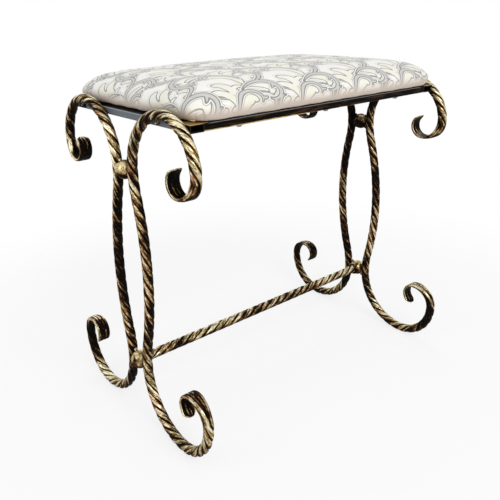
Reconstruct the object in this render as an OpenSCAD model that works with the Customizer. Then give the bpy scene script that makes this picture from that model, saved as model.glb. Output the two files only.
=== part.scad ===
// Upholstered banquette: a padded seat on a thin tube frame, carried by two wrought end frames.
// Each end frame is a mirrored pair of twisted bars, bent into scrolls and welded to two balls.
// Millimetres, +Z up. The floor is z = 0 and the origin lies on it, under the middle of the seat.
// X runs along the seat, Y across it. Front is -Y, left is -X.

/* [Twisted bars] */
// Distance between the centre planes of the two end frames
end_spacing = 470; // [400:5:600]
// Width of a twisted bar over its strands
bar_d = 14; // [12:0.5:16]
// Depth of the grooves between the strands
groove_depth = 1.6; // [0.6:0.1:2.4]
// Length of bar in which the strands make a full turn
twist_pitch = 72; // [50:2:110]
// Distance between the rings of points along a bar
ring_step = 8; // [8:1:12]
// Diameter of the forged balls
ball_d = 26; // [22:1:32]
// Gap that the welds bridge, bar to ball and bar to rail
weld_gap = 0.3; // [0.1:0.1:0.6]

/* [Bends of a scroll bar, from its waist outward] */
// Radius of the long bow between the balls
bow_r = 400; // [340:10:480]
// Turn of the bow from its waist to the neck, in degrees
bow_turn = 15.4; // [14:0.2:17]
// Radius of the neck beside a ball
neck_r = 130; // [100:5:160]
// Turn of the neck past the ball, in degrees
neck_turn = 2; // [0:1:8]
// Radius of the shoulder, from the neck to the crest
shoulder_r = 81; // [70:1:95]
// Radius of the crest, down to the outermost point
crest_r = 62; // [52:1:72]
// Radius of the curl under the crest
curl_r = 30; // [24:1:34]
// Turn of the curl, in degrees
curl_turn = 98; // [80:2:110]
// Radius of the rolled end
roll_r = 17; // [14:0.5:20]
// Turn of the rolled end, in degrees
roll_turn = 156; // [120:4:180]

/* [Forged flat ends] */
// Length of the flat end, up to its tip
flat_l = 92; // [70:2:110]
// Length in which the round bar flares into the flat end
flare_l = 42; // [24:2:60]
// Width of the flat end, along X
flat_w = 19; // [15:0.5:24]
// Thickness of the flat end
flat_t = 4.4; // [3:0.2:6]
// How far the ground flat under each foot is cut into the bar
foot_cut = 0.7; // [0.4:0.1:1.2]

/* [Seat frame] */
// Depth of the seat frame, front to back
frame_w = 290; // [270:5:310]
// Width of the frame tube, lying flat
tube_w = 20; // [18:1:25]
// Height of the frame tube
tube_h = 10; // [8:0.5:12]
// Wall of the frame tube
tube_wall = 1.5; // [1:0.1:2]
// Outer corner radius of the frame tube
tube_corner_r = 1.8; // [1.6:0.1:2.4]
// Height of the crest's centre line above the top of the frame
crest_rise = 6.8; // [5:0.2:9]

/* [Welds] */
// Diameter of the beads between a ball and its bars
ball_bead_d = 4; // [3:0.5:5]
// Diameter of the beads under the bars on the short rails
rail_bead_d = 5; // [4:0.5:6]
// Diameter of the ring beads at the stretcher's ends
stretcher_bead_d = 2.6; // [2:0.2:3.2]
// Diameter of the upright beads in the frame's inner corners
corner_bead_d = 4; // [3:0.5:5]
// How far a corner bead stops short of the tube's edges
corner_bead_inset = 1.5; // [0.5:0.5:2]

/* [Seat] */
// How far the cushion's sides reach out past the long rails
cushion_overhang = 12; // [9:1:16]
// Gap between the cushion's ends and the crests of the bars
cushion_end_gap = 2; // [1:0.5:4]
// Corner radius of the cushion, seen from above
cushion_corner_r = 28; // [26:1:36]
// Height of the cushion's edge, from its underside to where the crown starts
edge_h = 38; // [34:1:44]
// Width of the rounded edge, seen from above
edge_round = 62; // [50:2:70]
// Height that the crown adds at the middle
crown_h = 9; // [5:1:16]
// How far the sides roll in toward the bottom edge
draw_in = 13; // [11:0.5:15]
// Height of the widest line above the cushion's underside
widest_h = 12; // [11:0.5:15]
// Thickness of the cover fabric
fabric_t = 1; // [0.8:0.1:1.4]
// Width of the fabric's margin, turned in under the board
hem_w = 30; // [26:1:36]
// Thickness of the seat board
board_t = 8; // [6:0.5:9]
// Play between the board, the foam and the fabric
seat_play = 0.3; // [0.2:0.1:0.5]
// Thickness of the lining under the board
lining_t = 0.6; // [0.4:0.1:1]
// How far the lining stays inside the board's edge
lining_inset = 4; // [2:1:6]

/* [Seat screws] */
// Screws along each long rail
screws_per_rail = 3; // [2:1:5]
// Distance between neighbouring screws
screw_spacing = 150; // [90:5:180]
// Diameter of the screw's shank
screw_d = 4; // [3.5:0.5:5]
// Length of the screw's shank under its head
screw_l = 19; // [17:0.5:19.5]
// Diameter of the screw's head
screw_head_d = 8; // [7:0.5:9]
// Height of the screw's head
screw_head_h = 2.4; // [2:0.2:3]
// Depth of the cross recess in the head
recess_depth = 1.2; // [0.8:0.1:1.6]
// Width of the cross recess's arms
recess_w = 1; // [0.8:0.1:1.4]
// Outer diameter of the washer
washer_d = 11; // [10:0.5:13]
// Thickness of the washer
washer_t = 1; // [0.8:0.1:1.4]
// Play of the screw in the tube, washer, lining and fabric, on the diameter
screw_play = 1; // [0.6:0.2:1.6]
// Play of the screw in the board, on the diameter
thread_play = 0.1; // [0.1:0.1:0.3]

/* [Hidden] */
LEFT = -1;
RIGHT = 1;
FRONT = -1;
REAR = 1;
SIDES = [-1, 1];

// One cut past a face, for bores and trims
overrun = 1;
bar_r = bar_d / 2;
ball_r = ball_d / 2;
end_x = end_spacing / 2;

// Where the bars pass the balls
neck_u = ball_r + bar_r + weld_gap;
waist_u = neck_u + (bow_r + neck_r) * (1 - cos(bow_turn));
ball_h = (bow_r + neck_r) * sin(bow_turn);

// Bends of half a scroll bar, as [radius, turn]. A positive turn goes outward and down.
BENDS = [
    [bow_r, -bow_turn],
    [neck_r, bow_turn + neck_turn],
    [shoulder_r, 90 - neck_turn],
    [crest_r, 90],
    [curl_r, curl_turn],
    [roll_r, roll_turn]
];
CREST_BEND = 3;
WAIST = [waist_u, 0, 90];

// A state is [distance from the middle plane, height above the waist, heading in degrees].
function bend_len(bend) = bend[0] * abs(bend[1]) * PI / 180;
function turned(state, bend, turn) =
    let (way = sign(bend[1]), r = bend[0], heading = state[2] - way * turn)
    [
        state[0] + r * (cos(state[2] - 90 * way) + cos(heading + 90 * way)),
        state[1] + r * (sin(state[2] - 90 * way) + sin(heading + 90 * way)),
        heading
    ];
function after_bends(count, state = WAIST, i = 0) =
    i == count ? state : after_bends(count, turned(state, BENDS[i], abs(BENDS[i][1])), i + 1);
function state_at(s, state = WAIST, i = 0) =
    i == len(BENDS) - 1 || s <= bend_len(BENDS[i])
        ? turned(state, BENDS[i], s / BENDS[i][0] * 180 / PI)
        : state_at(s - bend_len(BENDS[i]), turned(state, BENDS[i], abs(BENDS[i][1])), i + 1);
function total_len(i = 0) = i == len(BENDS) ? 0 : bend_len(BENDS[i]) + total_len(i + 1);

half_l = total_len();
crest = after_bends(CREST_BEND);
crest_u = crest[0];
crest_h = crest[1];
waist_z = crest_h + bar_r - foot_cut;
crest_z = waist_z + crest_h;

// The whole bar runs from its foot end, s = -half_l, to its top end, s = half_l.
function bar_state(s) =
    let (half = state_at(abs(s)))
    s < 0 ? [half[0], -half[1], 180 - half[2]] : half;

// Section of the twisted bar: each strand has a groove point and two crown points.
STRANDS = 4;
POINTS_PER_STRAND = 3;
SECTION_POINTS = STRANDS * POINTS_PER_STRAND;
function strand_point(k, phase) =
    let (
        r = k % POINTS_PER_STRAND == 0 ? bar_r - groove_depth : bar_r,
        angle = 360 * k / SECTION_POINTS + phase
    )
    [r * cos(angle), r * sin(angle)];

// Section of the flat end, in shares of its half width and half thickness, in the same order
flat_point_shares = [
    [1, 0], [0.9, 1], [0.32, 1], [0, 0.5], [-0.32, 1], [-0.9, 1],
    [-1, 0], [-0.9, -1], [-0.32, -1], [0, -0.5], [0.32, -1], [0.9, -1]
];
// The tip is a little narrower and much thinner than the flat end behind it.
tip_width_share = 0.85;
tip_thickness_share = 0.4;

function smooth(x) = let (t = min(max(x, 0), 1)) t * t * (3 - 2 * t);
function mix2(a, b, t) = a * (1 - t) + b * t;

twisted_l = half_l - flat_l;
quarter_turns = round(STRANDS * twisted_l / twist_pitch);
function twist_at(s) = 360 / STRANDS * quarter_turns * min(max(s / twisted_l, -1), 1);

// Section of a scroll bar at s, as [along X, along the bend's normal]
function bar_section(s, side) =
    let (
        flat = smooth((abs(s) - twisted_l) / flare_l),
        toward_tip = smooth((abs(s) - twisted_l - flare_l) / (flat_l - flare_l)),
        half_w = flat_w / 2 * mix2(1, tip_width_share, toward_tip),
        half_t = flat_t / 2 * mix2(1, tip_thickness_share, toward_tip),
        shift = POINTS_PER_STRAND * quarter_turns * side * sign(s)
    )
    [
        for (k = [0:SECTION_POINTS - 1])
            let (
                share = flat_point_shares[((k + shift) % SECTION_POINTS + SECTION_POINTS) % SECTION_POINTS],
                flattened = [share[0] * half_w, share[1] * half_t]
            )
            mix2(strand_point(k, side * twist_at(s)), flattened, flat)
    ];

function bar_ring(s, end, side) =
    let (state = bar_state(s), n = [-sin(state[2]), cos(state[2])])
    [
        for (q = bar_section(s, side))
            [end * end_x + q[0], side * (state[0] + n[0] * q[1]), waist_z + state[1] + n[1] * q[1]]
    ];

// Closed skin over rings of points. Each cap is a fan round the middle of its ring.
// The faces' diagonals follow the way that the strands twist, and flip turns the faces outward.
function mean_point(ring) = [for (axis = [0:2]) [for (p = ring) p[axis]] * [for (p = ring) 1] / len(ring)];
module skin(rings, twist = 1, flip = false) {
    n = len(rings[0]);
    m = len(rings);
    points = concat([for (ring = rings) each ring], [mean_point(rings[0]), mean_point(rings[m - 1])]);
    sides = [
        for (i = [0:m - 2], j = [0:n - 1])
            let (a = i * n + j, b = i * n + (j + 1) % n)
            each (twist > 0 ? [[a, a + n, b], [b, a + n, b + n]] : [[a, a + n, b + n], [a, b + n, b]])
    ];
    caps = [
        for (j = [0:n - 1])
            let (k = (j + 1) % n)
            each [[m * n, j, k], [m * n + 1, (m - 1) * n + k, (m - 1) * n + j]]
    ];
    faces = concat(sides, caps);
    polyhedron(points, flip ? [for (f = faces) [f[2], f[1], f[0]]] : faces);
}

module scroll_bar(end, side) {
    steps = ceil(2 * half_l / ring_step);
    color("#6b5a35")
        difference() {
            skin([for (i = [0:steps]) bar_ring(half_l * (2 * i / steps - 1), end, side)], side, side == REAR);
            translate([end * end_x - flat_w, side * crest_u - crest_r, -bar_d])
                cube([2 * flat_w, 2 * crest_r, bar_d]);
        }
}

module ball(end, way) {
    color("#a8904a")
        translate([end * end_x, 0, waist_z + way * ball_h])
            sphere(ball_r, $fn = 48);
}

// Stretcher, from the skin of one lower ball to the other
stretcher_half = end_x - ball_r - weld_gap;
module stretcher_bar() {
    steps = ceil(2 * stretcher_half / ring_step);
    color("#6b5a35")
        translate([0, 0, waist_z - ball_h])
            skin([
                for (i = [0:steps])
                    let (x = stretcher_half * (2 * i / steps - 1))
                    [for (k = [0:SECTION_POINTS - 1])
                        let (p = strand_point(k, -360 * x / twist_pitch)) [x, p[0], p[1]]]
            ], -1);
}

// Seat frame of rectangular tube: the short rails run through, the long rails butt against them.
frame_half_l = end_x - bar_r - weld_gap;
frame_top = crest_z - crest_rise;
frame_mid = frame_top - tube_h / 2;
long_rail_y = frame_w / 2 - tube_w / 2;
long_rail_l = 2 * (frame_half_l - tube_w);

module rounded_rect(l, w, r) {
    square([l - 2 * r, w], center = true);
    square([l, w - 2 * r], center = true);
    for (x = SIDES, y = SIDES)
        translate([x * (l / 2 - r), y * (w / 2 - r)])
            circle(r, $fn = 48);
}

// Tube along Z, centred on the origin
module tube(l) {
    linear_extrude(l, center = true)
        difference() {
            rounded_rect(tube_w, tube_h, tube_corner_r);
            square([tube_w - 2 * tube_wall, tube_h - 2 * tube_wall], center = true);
        }
}

function screw_x(i) = (i - (screws_per_rail - 1) / 2) * screw_spacing;
module at_screws(sides = SIDES) {
    for (side = sides, i = [0:screws_per_rail - 1])
        translate([screw_x(i), side * long_rail_y, 0])
            children();
}

module long_rail(side) {
    color("#2b2723")
        difference() {
            translate([0, side * long_rail_y, frame_mid])
                rotate([90, 0, 90])
                    tube(long_rail_l);
            at_screws([side])
                translate([0, 0, frame_mid])
                    cylinder(tube_h + 2 * overrun, d = screw_d + screw_play, center = true, $fn = 32);
        }
}

module short_rail(end) {
    color("#4a4f54")
        translate([end * (frame_half_l - tube_w / 2), 0, frame_mid])
            rotate([90, 0, 0])
                tube(frame_w);
}

// Beads in the notches between each ball and its two bars, above and below where they touch.
// A bead's centre is where a circle round the ball meets one round the neck bend.
ball_bead_r = ball_bead_d / 2;
ball_bead_reach = ball_r + ball_bead_r + weld_gap;
neck_bead_reach = neck_r + bar_r + ball_bead_r + weld_gap;
neck_centre_u = neck_u + neck_r;
ball_bead_u = (ball_bead_reach ^ 2 - neck_bead_reach ^ 2 + neck_centre_u ^ 2) / (2 * neck_centre_u);
ball_bead_rise = sqrt(ball_bead_reach ^ 2 - ball_bead_u ^ 2);
module ball_welds() {
    color("#8a7440")
        for (end = SIDES, side = SIDES, way = SIDES, above = SIDES)
            translate([end * end_x, side * ball_bead_u, waist_z + way * ball_h + above * ball_bead_rise])
                sphere(ball_bead_r, $fn = 24);
}

// Ring beads that close the notch between the stretcher's ends and the lower balls
stretcher_bead_r = stretcher_bead_d / 2;
stretcher_bead_x = ball_r - stretcher_bead_r;
stretcher_bead_ring_r = sqrt((ball_r + stretcher_bead_r + weld_gap) ^ 2 - stretcher_bead_x ^ 2);
module stretcher_welds() {
    color("#8a7440")
        for (end = SIDES)
            translate([end * (end_x - stretcher_bead_x), 0, waist_z - ball_h])
                rotate([0, 90, 0])
                    rotate_extrude($fn = 48)
                        translate([stretcher_bead_ring_r, 0])
                            circle(stretcher_bead_r, $fn = 24);
}

// Beads under the bars where they cross the short rails, on the shoulder and on the crest bend
rail_bead_r = rail_bead_d / 2;
rail_bead_x = frame_half_l + rail_bead_r + weld_gap / 2;
rail_bead_drop = sqrt((bar_r + rail_bead_r + weld_gap) ^ 2 - (end_x - rail_bead_x) ^ 2);
function rail_bead_angle(r) = acos((frame_mid - crest_z + r) / (r - rail_bead_drop));
module bar_to_rail_welds() {
    color("#8a7440")
        for (end = SIDES, side = SIDES, bend = [[shoulder_r, -1], [crest_r, 1]])
            translate([
                end * rail_bead_x,
                side * (crest_u + bend[1] * (bend[0] - rail_bead_drop) * sin(rail_bead_angle(bend[0]))),
                frame_mid
            ])
                sphere(rail_bead_r, $fn = 32);
}

// Upright beads in the inner corners of the seat frame
module frame_corner_welds() {
    reach = corner_bead_d / 2 + weld_gap / 2;
    color("#8a7440")
        for (end = SIDES, side = SIDES)
            translate([
                end * (frame_half_l - tube_w - reach),
                side * (frame_w / 2 - tube_w - reach),
                frame_mid
            ])
                cylinder(tube_h - 2 * corner_bead_inset, d = corner_bead_d, center = true, $fn = 32);
}

// Cushion. Its rings follow a rounded rectangle, set in from the widest line.
cushion_half_l = end_x - bar_r - cushion_end_gap;
cushion_half_w = frame_w / 2 + cushion_overhang;
lining_z = frame_top;
hem_z = lining_z + lining_t;
board_z = hem_z + fabric_t;
CORNER_STEPS = 5;
long_side_shares = [-0.5, 0, 0.5];
short_side_shares = [0];
outline_corners = [[1, 1, 0], [-1, 1, 90], [-1, -1, 180], [1, -1, 270]];

// The straight side that follows corner i: its first two are the rear and the left side.
function side_shares(i) = i % 2 == 0 ? long_side_shares : short_side_shares;
function outline(half_l, half_w, r) = [
    for (i = [0:3])
        let (c = outline_corners[i])
        each concat(
            [for (k = [0:CORNER_STEPS])
                let (a = c[2] + 90 * k / CORNER_STEPS)
                [c[0] * (half_l - r) + r * cos(a), c[1] * (half_w - r) + r * sin(a)]],
            [for (share = side_shares(i))
                i % 2 == 0
                    ? [-c[0] * share * half_l, c[1] * half_w]
                    : [c[0] * half_l, -c[1] * share * half_w]]
        )
];

// Height that the crown adds over a point of the seat
function crown(x, y) =
    crown_h * max(1 - (x / cushion_half_l) ^ 2, 0) * max(1 - (y / cushion_half_w) ^ 2, 0);

// A ring is [inset, height above the hem's underside]. Skins inside the outer one are set in by skin_in.
EDGE_STEPS = 6;
ROLL_STEPS = 3;
function roll_rings(skin_in) = [
    for (i = [0:ROLL_STEPS])
        let (a = 90 * (1 - i / ROLL_STEPS))
        [draw_in - (draw_in - skin_in) * cos(a), widest_h - (widest_h - skin_in) * sin(a)]
];
function lower_rings(skin_in) = concat([[hem_w, skin_in]], roll_rings(skin_in));
function edge_rings(skin_in) = [
    for (i = [1:EDGE_STEPS])
        let (a = 90 * i / EDGE_STEPS)
        [
            skin_in + (edge_round - skin_in) * (1 - cos(a)),
            widest_h + (edge_h - widest_h - skin_in) * sin(a)
        ]
];
// How much of the flat middle's outline each ring of the crown keeps
crown_ring_shares = [0.7, 0.4, 0.15];
// How much of a ring's inset its corner radius loses
corner_loss_share = 0.3;

function ring_corner_r(inset) = max(cushion_corner_r - corner_loss_share * inset, fabric_t);
function seat_ring(inset, h, keep = 1) = [
    for (p = outline(cushion_half_l - inset, cushion_half_w - inset, ring_corner_r(inset)))
        [p[0] * keep, p[1] * keep, hem_z + h + crown(p[0] * keep, p[1] * keep) * (h > widest_h ? 1 : 0)]
];
function skin_rings(rings) = [for (r = rings) seat_ring(r[0], r[1])];
function crown_rings(skin_in) = [
    for (keep = crown_ring_shares) seat_ring(edge_round, edge_h - skin_in, keep)
];

foam_in = fabric_t + seat_play;
foam_z = board_z + seat_play + board_t + seat_play;
// The foam's underside follows the roll's inside.
foam_h = foam_z - hem_z;
foam_bottom_in = lookup(foam_h, [for (ring = roll_rings(foam_in)) [ring[1], ring[0]]]);
module foam_pad() {
    bottom = [[foam_bottom_in, foam_h]];
    color("#e8d9a0")
        skin(concat(skin_rings(concat(bottom, edge_rings(foam_in))), crown_rings(foam_in)));
}

// The cover is one closed skin: up the outside to the crown, back down the inside to the hem's edge.
module seat_cover() {
    outer = concat(skin_rings(concat(lower_rings(0), edge_rings(0))), crown_rings(0));
    inner = concat(skin_rings(concat(lower_rings(fabric_t), edge_rings(fabric_t))), crown_rings(fabric_t));
    color("#e6e4da")
        difference() {
            shell(outer, inner);
            at_screws()
                translate([0, 0, hem_z - overrun])
                    cylinder(fabric_t + 2 * overrun, d = screw_d + screw_play, $fn = 32);
        }
}

// Shell between an outer and an inner stack of rings, open below where their first rings meet
module shell(outer, inner) {
    n = len(outer[0]);
    m = len(outer);
    base = m * n;
    points = concat(
        [for (ring = outer) each ring],
        [for (ring = inner) each ring],
        [mean_point(outer[m - 1]), mean_point(inner[m - 1])]
    );
    walls = [
        for (i = [0:m - 2], j = [0:n - 1])
            let (a = i * n + j, b = i * n + (j + 1) % n)
            each [
                [a, a + n, b], [b, a + n, b + n],
                [base + b, base + a + n, base + a], [base + b + n, base + a + n, base + b]
            ]
    ];
    caps = [
        for (j = [0:n - 1])
            let (k = (j + 1) % n, last = (m - 1) * n)
            each [
                [2 * base, last + k, last + j], [2 * base + 1, base + last + j, base + last + k],
                [j, k, base + j], [base + k, base + j, k]
            ]
    ];
    polyhedron(points, concat(walls, caps));
}

board_inset = draw_in + fabric_t + seat_play;
board_bottom = board_z + seat_play;
module seat_slab(inset, z, t) {
    translate([0, 0, z])
        linear_extrude(t)
            rounded_rect(
                2 * (cushion_half_l - inset),
                2 * (cushion_half_w - inset),
                cushion_corner_r - inset
            );
}

module seat_board() {
    color("#c9a26b")
        difference() {
            seat_slab(board_inset, board_bottom, board_t);
            at_screws()
                translate([0, 0, board_bottom - overrun])
                    cylinder(screw_tip - board_bottom + 2 * overrun, d = screw_d + thread_play, $fn = 32);
        }
}

module lining() {
    color("#1d1d1f")
        difference() {
            seat_slab(board_inset + lining_inset, lining_z, lining_t);
            at_screws()
                translate([0, 0, lining_z - overrun])
                    cylinder(lining_t + 2 * overrun, d = screw_d + screw_play, $fn = 32);
        }
}

// Shares of the head's diameter: the head's outer face, and the span of its cross recess
head_face_share = 0.7;
recess_span_share = 0.5;

// Screws from below: washer on the tube's underside, head under the washer
frame_bottom = frame_top - tube_h;
washer_bottom = frame_bottom - washer_t;
screw_tip = washer_bottom + screw_l;
module seat_screws() {
    recess_span = screw_head_d * recess_span_share;
    color("#b9bcc0")
        at_screws() {
            difference() {
                translate([0, 0, washer_bottom - screw_head_h])
                    cylinder(screw_head_h, d1 = screw_head_d * head_face_share, d2 = screw_head_d, $fn = 32);
                for (turn = [0, 90])
                    rotate([0, 0, turn])
                        translate([-recess_span / 2, -recess_w / 2, washer_bottom - screw_head_h - overrun])
                            cube([recess_span, recess_w, recess_depth + overrun]);
            }
            translate([0, 0, washer_bottom])
                cylinder(screw_l, d = screw_d, $fn = 32);
        }
}

module screw_washers() {
    color("#b9bcc0")
        at_screws()
            translate([0, 0, washer_bottom])
                difference() {
                    cylinder(washer_t, d = washer_d, $fn = 32);
                    translate([0, 0, -overrun])
                        cylinder(washer_t + 2 * overrun, d = screw_d + screw_play, $fn = 32);
                }
}

scroll_bar(LEFT, FRONT);  // scroll_bar_front_left
scroll_bar(LEFT, REAR);  // scroll_bar_rear_left
scroll_bar(RIGHT, FRONT);  // scroll_bar_front_right
scroll_bar(RIGHT, REAR);  // scroll_bar_rear_right
ball(LEFT, 1);  // upper_ball_left
ball(LEFT, -1);  // lower_ball_left
ball(RIGHT, 1);  // upper_ball_right
ball(RIGHT, -1);  // lower_ball_right
stretcher_bar();
long_rail(FRONT);  // front_rail
long_rail(REAR);  // rear_rail
short_rail(LEFT);  // left_rail
short_rail(RIGHT);  // right_rail
ball_welds();
stretcher_welds();
bar_to_rail_welds();
frame_corner_welds();
seat_board();
foam_pad();
seat_cover();
lining();
seat_screws();
screw_washers();
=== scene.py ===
"""A padded banquette on two wrought end frames of twisted bar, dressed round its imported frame.

Lengths are in metres. The floor is z = 0 and the origin lies on it, under the middle of the seat.
X runs along the seat, front is -Y and left is -X. The sizes of the bends repeat the solids' own.
"""
import logging
import math
from dataclasses import dataclass, field
from enum import Enum
from typing import Any, Callable, Iterable, Optional, Sequence, Union

import bmesh
import bpy
import numpy as np
from mathutils import Matrix, Vector


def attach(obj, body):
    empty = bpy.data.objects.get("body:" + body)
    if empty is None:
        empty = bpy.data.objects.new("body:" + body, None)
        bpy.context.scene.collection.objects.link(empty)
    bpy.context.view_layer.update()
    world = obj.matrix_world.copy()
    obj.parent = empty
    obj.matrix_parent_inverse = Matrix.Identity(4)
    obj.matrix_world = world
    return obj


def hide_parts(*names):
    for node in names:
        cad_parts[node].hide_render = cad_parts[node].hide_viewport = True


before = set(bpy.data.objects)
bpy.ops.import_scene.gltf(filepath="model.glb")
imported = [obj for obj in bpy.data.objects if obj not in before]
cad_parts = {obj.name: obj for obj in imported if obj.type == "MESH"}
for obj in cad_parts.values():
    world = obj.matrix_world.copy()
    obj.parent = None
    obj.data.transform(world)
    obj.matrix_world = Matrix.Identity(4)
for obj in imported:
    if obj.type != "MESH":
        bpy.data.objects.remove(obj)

log = logging.getLogger("banquette")
Socket = bpy.types.NodeSocket
Node = bpy.types.Node
Material = bpy.types.Material
Mesh = bpy.types.Mesh
Piece = bpy.types.Object
Value = Union["Wire", float, int, str, tuple, Material]
Colour = tuple[float, float, float]
Spot = tuple[float, float, float]
Band = tuple[float, float]
MM = 0.001
QUARTER = math.pi / 2
FULL = 2 * math.pi
SIGNS = (-1, 1)


class End(Enum):
    """The two ends of the seat, by the sign of X."""

    LEFT = -1
    RIGHT = 1


class Side(Enum):
    """The two long sides of the seat, by the sign of Y."""

    FRONT = -1
    REAR = 1


class Level(Enum):
    """The two heights of a ball, by its sign from the waist."""

    UPPER = 1
    LOWER = -1


# ---------------------------------------------------------------------------------------- node trees


class Wire:
    """A value in a node tree. Arithmetic with it draws Math or Vector Math nodes."""

    def __init__(self, sketch: "Sketch", socket: Socket) -> None:
        """Keeps the socket that gives the value."""
        self.sketch, self.socket = sketch, socket

    def __add__(self, other: Value) -> "Wire":
        """Adds a value."""
        return self.sketch.work("ADD", self, other)

    def __sub__(self, other: Value) -> "Wire":
        """Subtracts a value."""
        return self.sketch.work("SUBTRACT", self, other)

    def __rsub__(self, other: Value) -> "Wire":
        """Subtracts this from a number."""
        return self.sketch.work("SUBTRACT", other, self)

    def __mul__(self, other: Value) -> "Wire":
        """Multiplies by a value, or scales a vector."""
        return self.sketch.work("MULTIPLY", self, other)

    def __truediv__(self, other: Value) -> "Wire":
        """Divides by a value."""
        return self.sketch.work("DIVIDE", self, other)

    def __pow__(self, other: Value) -> "Wire":
        """Raises to a power."""
        return self.sketch.work("POWER", self, other)

    def __abs__(self) -> "Wire":
        """Drops the sign."""
        return self.sketch.work("ABSOLUTE", self)


class Sketch:
    """Short calls for drawing a shader or geometry node tree."""

    def __init__(self, tree: bpy.types.NodeTree) -> None:
        """Keeps the tree that the calls draw in."""
        self.tree = tree

    def feed(self, socket: Socket, value: Value) -> None:
        """Links a socket to a wire, or sets its value.

        Args:
            socket: The input socket.
            value: A wire to link from, or a plain value.
        """
        if isinstance(value, Wire):
            self.tree.links.new(value.socket, socket)
        elif isinstance(value, tuple) and socket.type == "RGBA":
            socket.default_value = (*value, 1.0)
        else:
            socket.default_value = value

    def add(self, kind: str, inputs: Optional[dict] = None, **settings: Any) -> Node:
        """Adds a node.

        Args:
            kind: The node's type.
            inputs: Wires or values by socket name or number.
            settings: Properties of the node, set before its inputs.

        Returns:
            The node.
        """
        node = self.tree.nodes.new(kind)
        for name, value in settings.items():
            setattr(node, name, value)
        for key, value in (inputs or {}).items():
            self.feed(node.inputs[key], value)
        return node

    def wire(self, node: Node, output: Union[int, str] = 0) -> Wire:
        """Takes one output of a node, by its name or number."""
        return Wire(self, node.outputs[output])

    def out(self, kind: str, inputs: Optional[dict] = None, output: Union[int, str] = 0, **settings: Any) -> Wire:
        """Adds a node and takes one of its outputs."""
        return self.wire(self.add(kind, inputs, **settings), output)

    def finish(self, shader: Node, **values: Value) -> None:
        """Feeds a shader's inputs, named with underscores for spaces."""
        for name, value in values.items():
            self.feed(shader.inputs[name.replace("_", " ")], value)

    def math(self, operation: str, *values: Value) -> Wire:
        """Adds a Math node."""
        return self.out("ShaderNodeMath", dict(enumerate(values)), operation=operation)

    def vector(self, operation: str, *values: Value) -> Wire:
        """Adds a Vector Math node.

        Args:
            operation: The node's operation.
            values: The vectors, or a vector and the value that scales it.

        Returns:
            The result, a plain value for a length.
        """
        inputs = {("Scale" if operation == "SCALE" and i else i): v for i, v in enumerate(values)}
        output = "Value" if operation == "LENGTH" else "Vector"
        return self.out("ShaderNodeVectorMath", inputs, output, operation=operation)

    @staticmethod
    def is_vector(value: Value) -> bool:
        """Tells whether a value has three parts."""
        return value.socket.type == "VECTOR" if isinstance(value, Wire) else isinstance(value, tuple)

    def work(self, operation: str, *values: Value) -> Wire:
        """Adds a Math node, or a Vector Math node where the first value is a vector.

        Args:
            operation: The node's operation.
            values: One or two values.

        Returns:
            The result.
        """
        if not self.is_vector(values[0]):
            return self.math(operation, *values)
        if operation == "MULTIPLY" and not self.is_vector(values[1]):
            operation = "SCALE"
        return self.vector(operation, *values)

    def most(self, a: Value, b: Value) -> Wire:
        """Gives the larger of two values."""
        return self.math("MAXIMUM", a, b)

    def least(self, a: Value, b: Value) -> Wire:
        """Gives the smaller of two values."""
        return self.math("MINIMUM", a, b)

    def clamp01(self, value: Value) -> Wire:
        """Clamps a value to 0..1."""
        return self.out("ShaderNodeClamp", {"Value": value})

    def join(self, x: Value, y: Value, z: Value) -> Wire:
        """Makes a vector of three values."""
        return self.out("ShaderNodeCombineXYZ", {"X": x, "Y": y, "Z": z})

    def split(self, vector: Value) -> tuple[Wire, ...]:
        """Gives the X, Y and Z of a vector."""
        return tuple(Wire(self, socket) for socket in self.add("ShaderNodeSeparateXYZ", {"Vector": vector}).outputs)

    def ease(self, value: Value, low: Value, high: Value) -> Wire:
        """Rises smoothly from 0 at low to 1 at high; where high is below low, it falls instead."""
        inputs = {"Value": value, "From Min": low, "From Max": high}
        return self.out("ShaderNodeMapRange", inputs, "Result", interpolation_type="SMOOTHSTEP")

    def blend(self, share: Value, a: Value, b: Value) -> Wire:
        """Mixes two numbers: a at 0, b at 1."""
        return self.out("ShaderNodeMix", {0: share, 2: a, 3: b}, data_type="FLOAT")

    def tint(self, share: Value, a: Value, b: Value) -> Wire:
        """Mixes two colours: a at 0, b at 1."""
        return self.out("ShaderNodeMix", {0: share, 6: a, 7: b}, 2, data_type="RGBA")

    def noise(self, where: Value, scale: Value, detail: float, seed: Value) -> Wire:
        """Adds a noise texture, about 0.5 in the middle."""
        inputs = {"Vector": where, "W": seed, "Scale": scale, "Detail": detail}
        return self.out("ShaderNodeTexNoise", inputs, noise_dimensions="4D")

    def off_centre(self, value: Wire, gain: float) -> Wire:
        """Moves a 0..1 texture to swing round 0 and scales the swing."""
        return (value - 0.5) * gain

    def bump(self, height: Value, strength: float, distance: float) -> Wire:
        """Bends a shader's normals by a height."""
        return self.out("ShaderNodeBump", {"Height": height, "Strength": strength, "Distance": distance})

    def attribute(self, name: str, part: str = "Fac") -> Wire:
        """Reads a named attribute of the piece in its material."""
        return self.out("ShaderNodeAttribute", output=part, attribute_name=name)

    def store(self, mesh: Wire, name: str, value: Wire) -> Wire:
        """Stores a value or a vector on each point of a mesh as a named attribute.

        Args:
            mesh: The mesh.
            name: The attribute's name.
            value: The value or vector.

        Returns:
            The mesh with the attribute.
        """
        kind = "FLOAT_VECTOR" if self.is_vector(value) else "FLOAT"
        inputs = {"Geometry": mesh, "Name": name, "Value": value}
        return self.out("GeometryNodeStoreNamedAttribute", inputs, data_type=kind, domain="POINT")

    def seen(self) -> Wire:
        """Tells looking from lighting.

        Returns:
            1 where the floor or the sky is looked at, straight or in gloss or glass, and 0 where it lights.
        """
        rays = self.add("ShaderNodeLightPath")
        straight, glossy, through = (self.wire(rays, f"Is {kind} Ray") for kind in ("Camera", "Glossy", "Transmission"))
        return self.most(straight, self.most(glossy, through))


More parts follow.
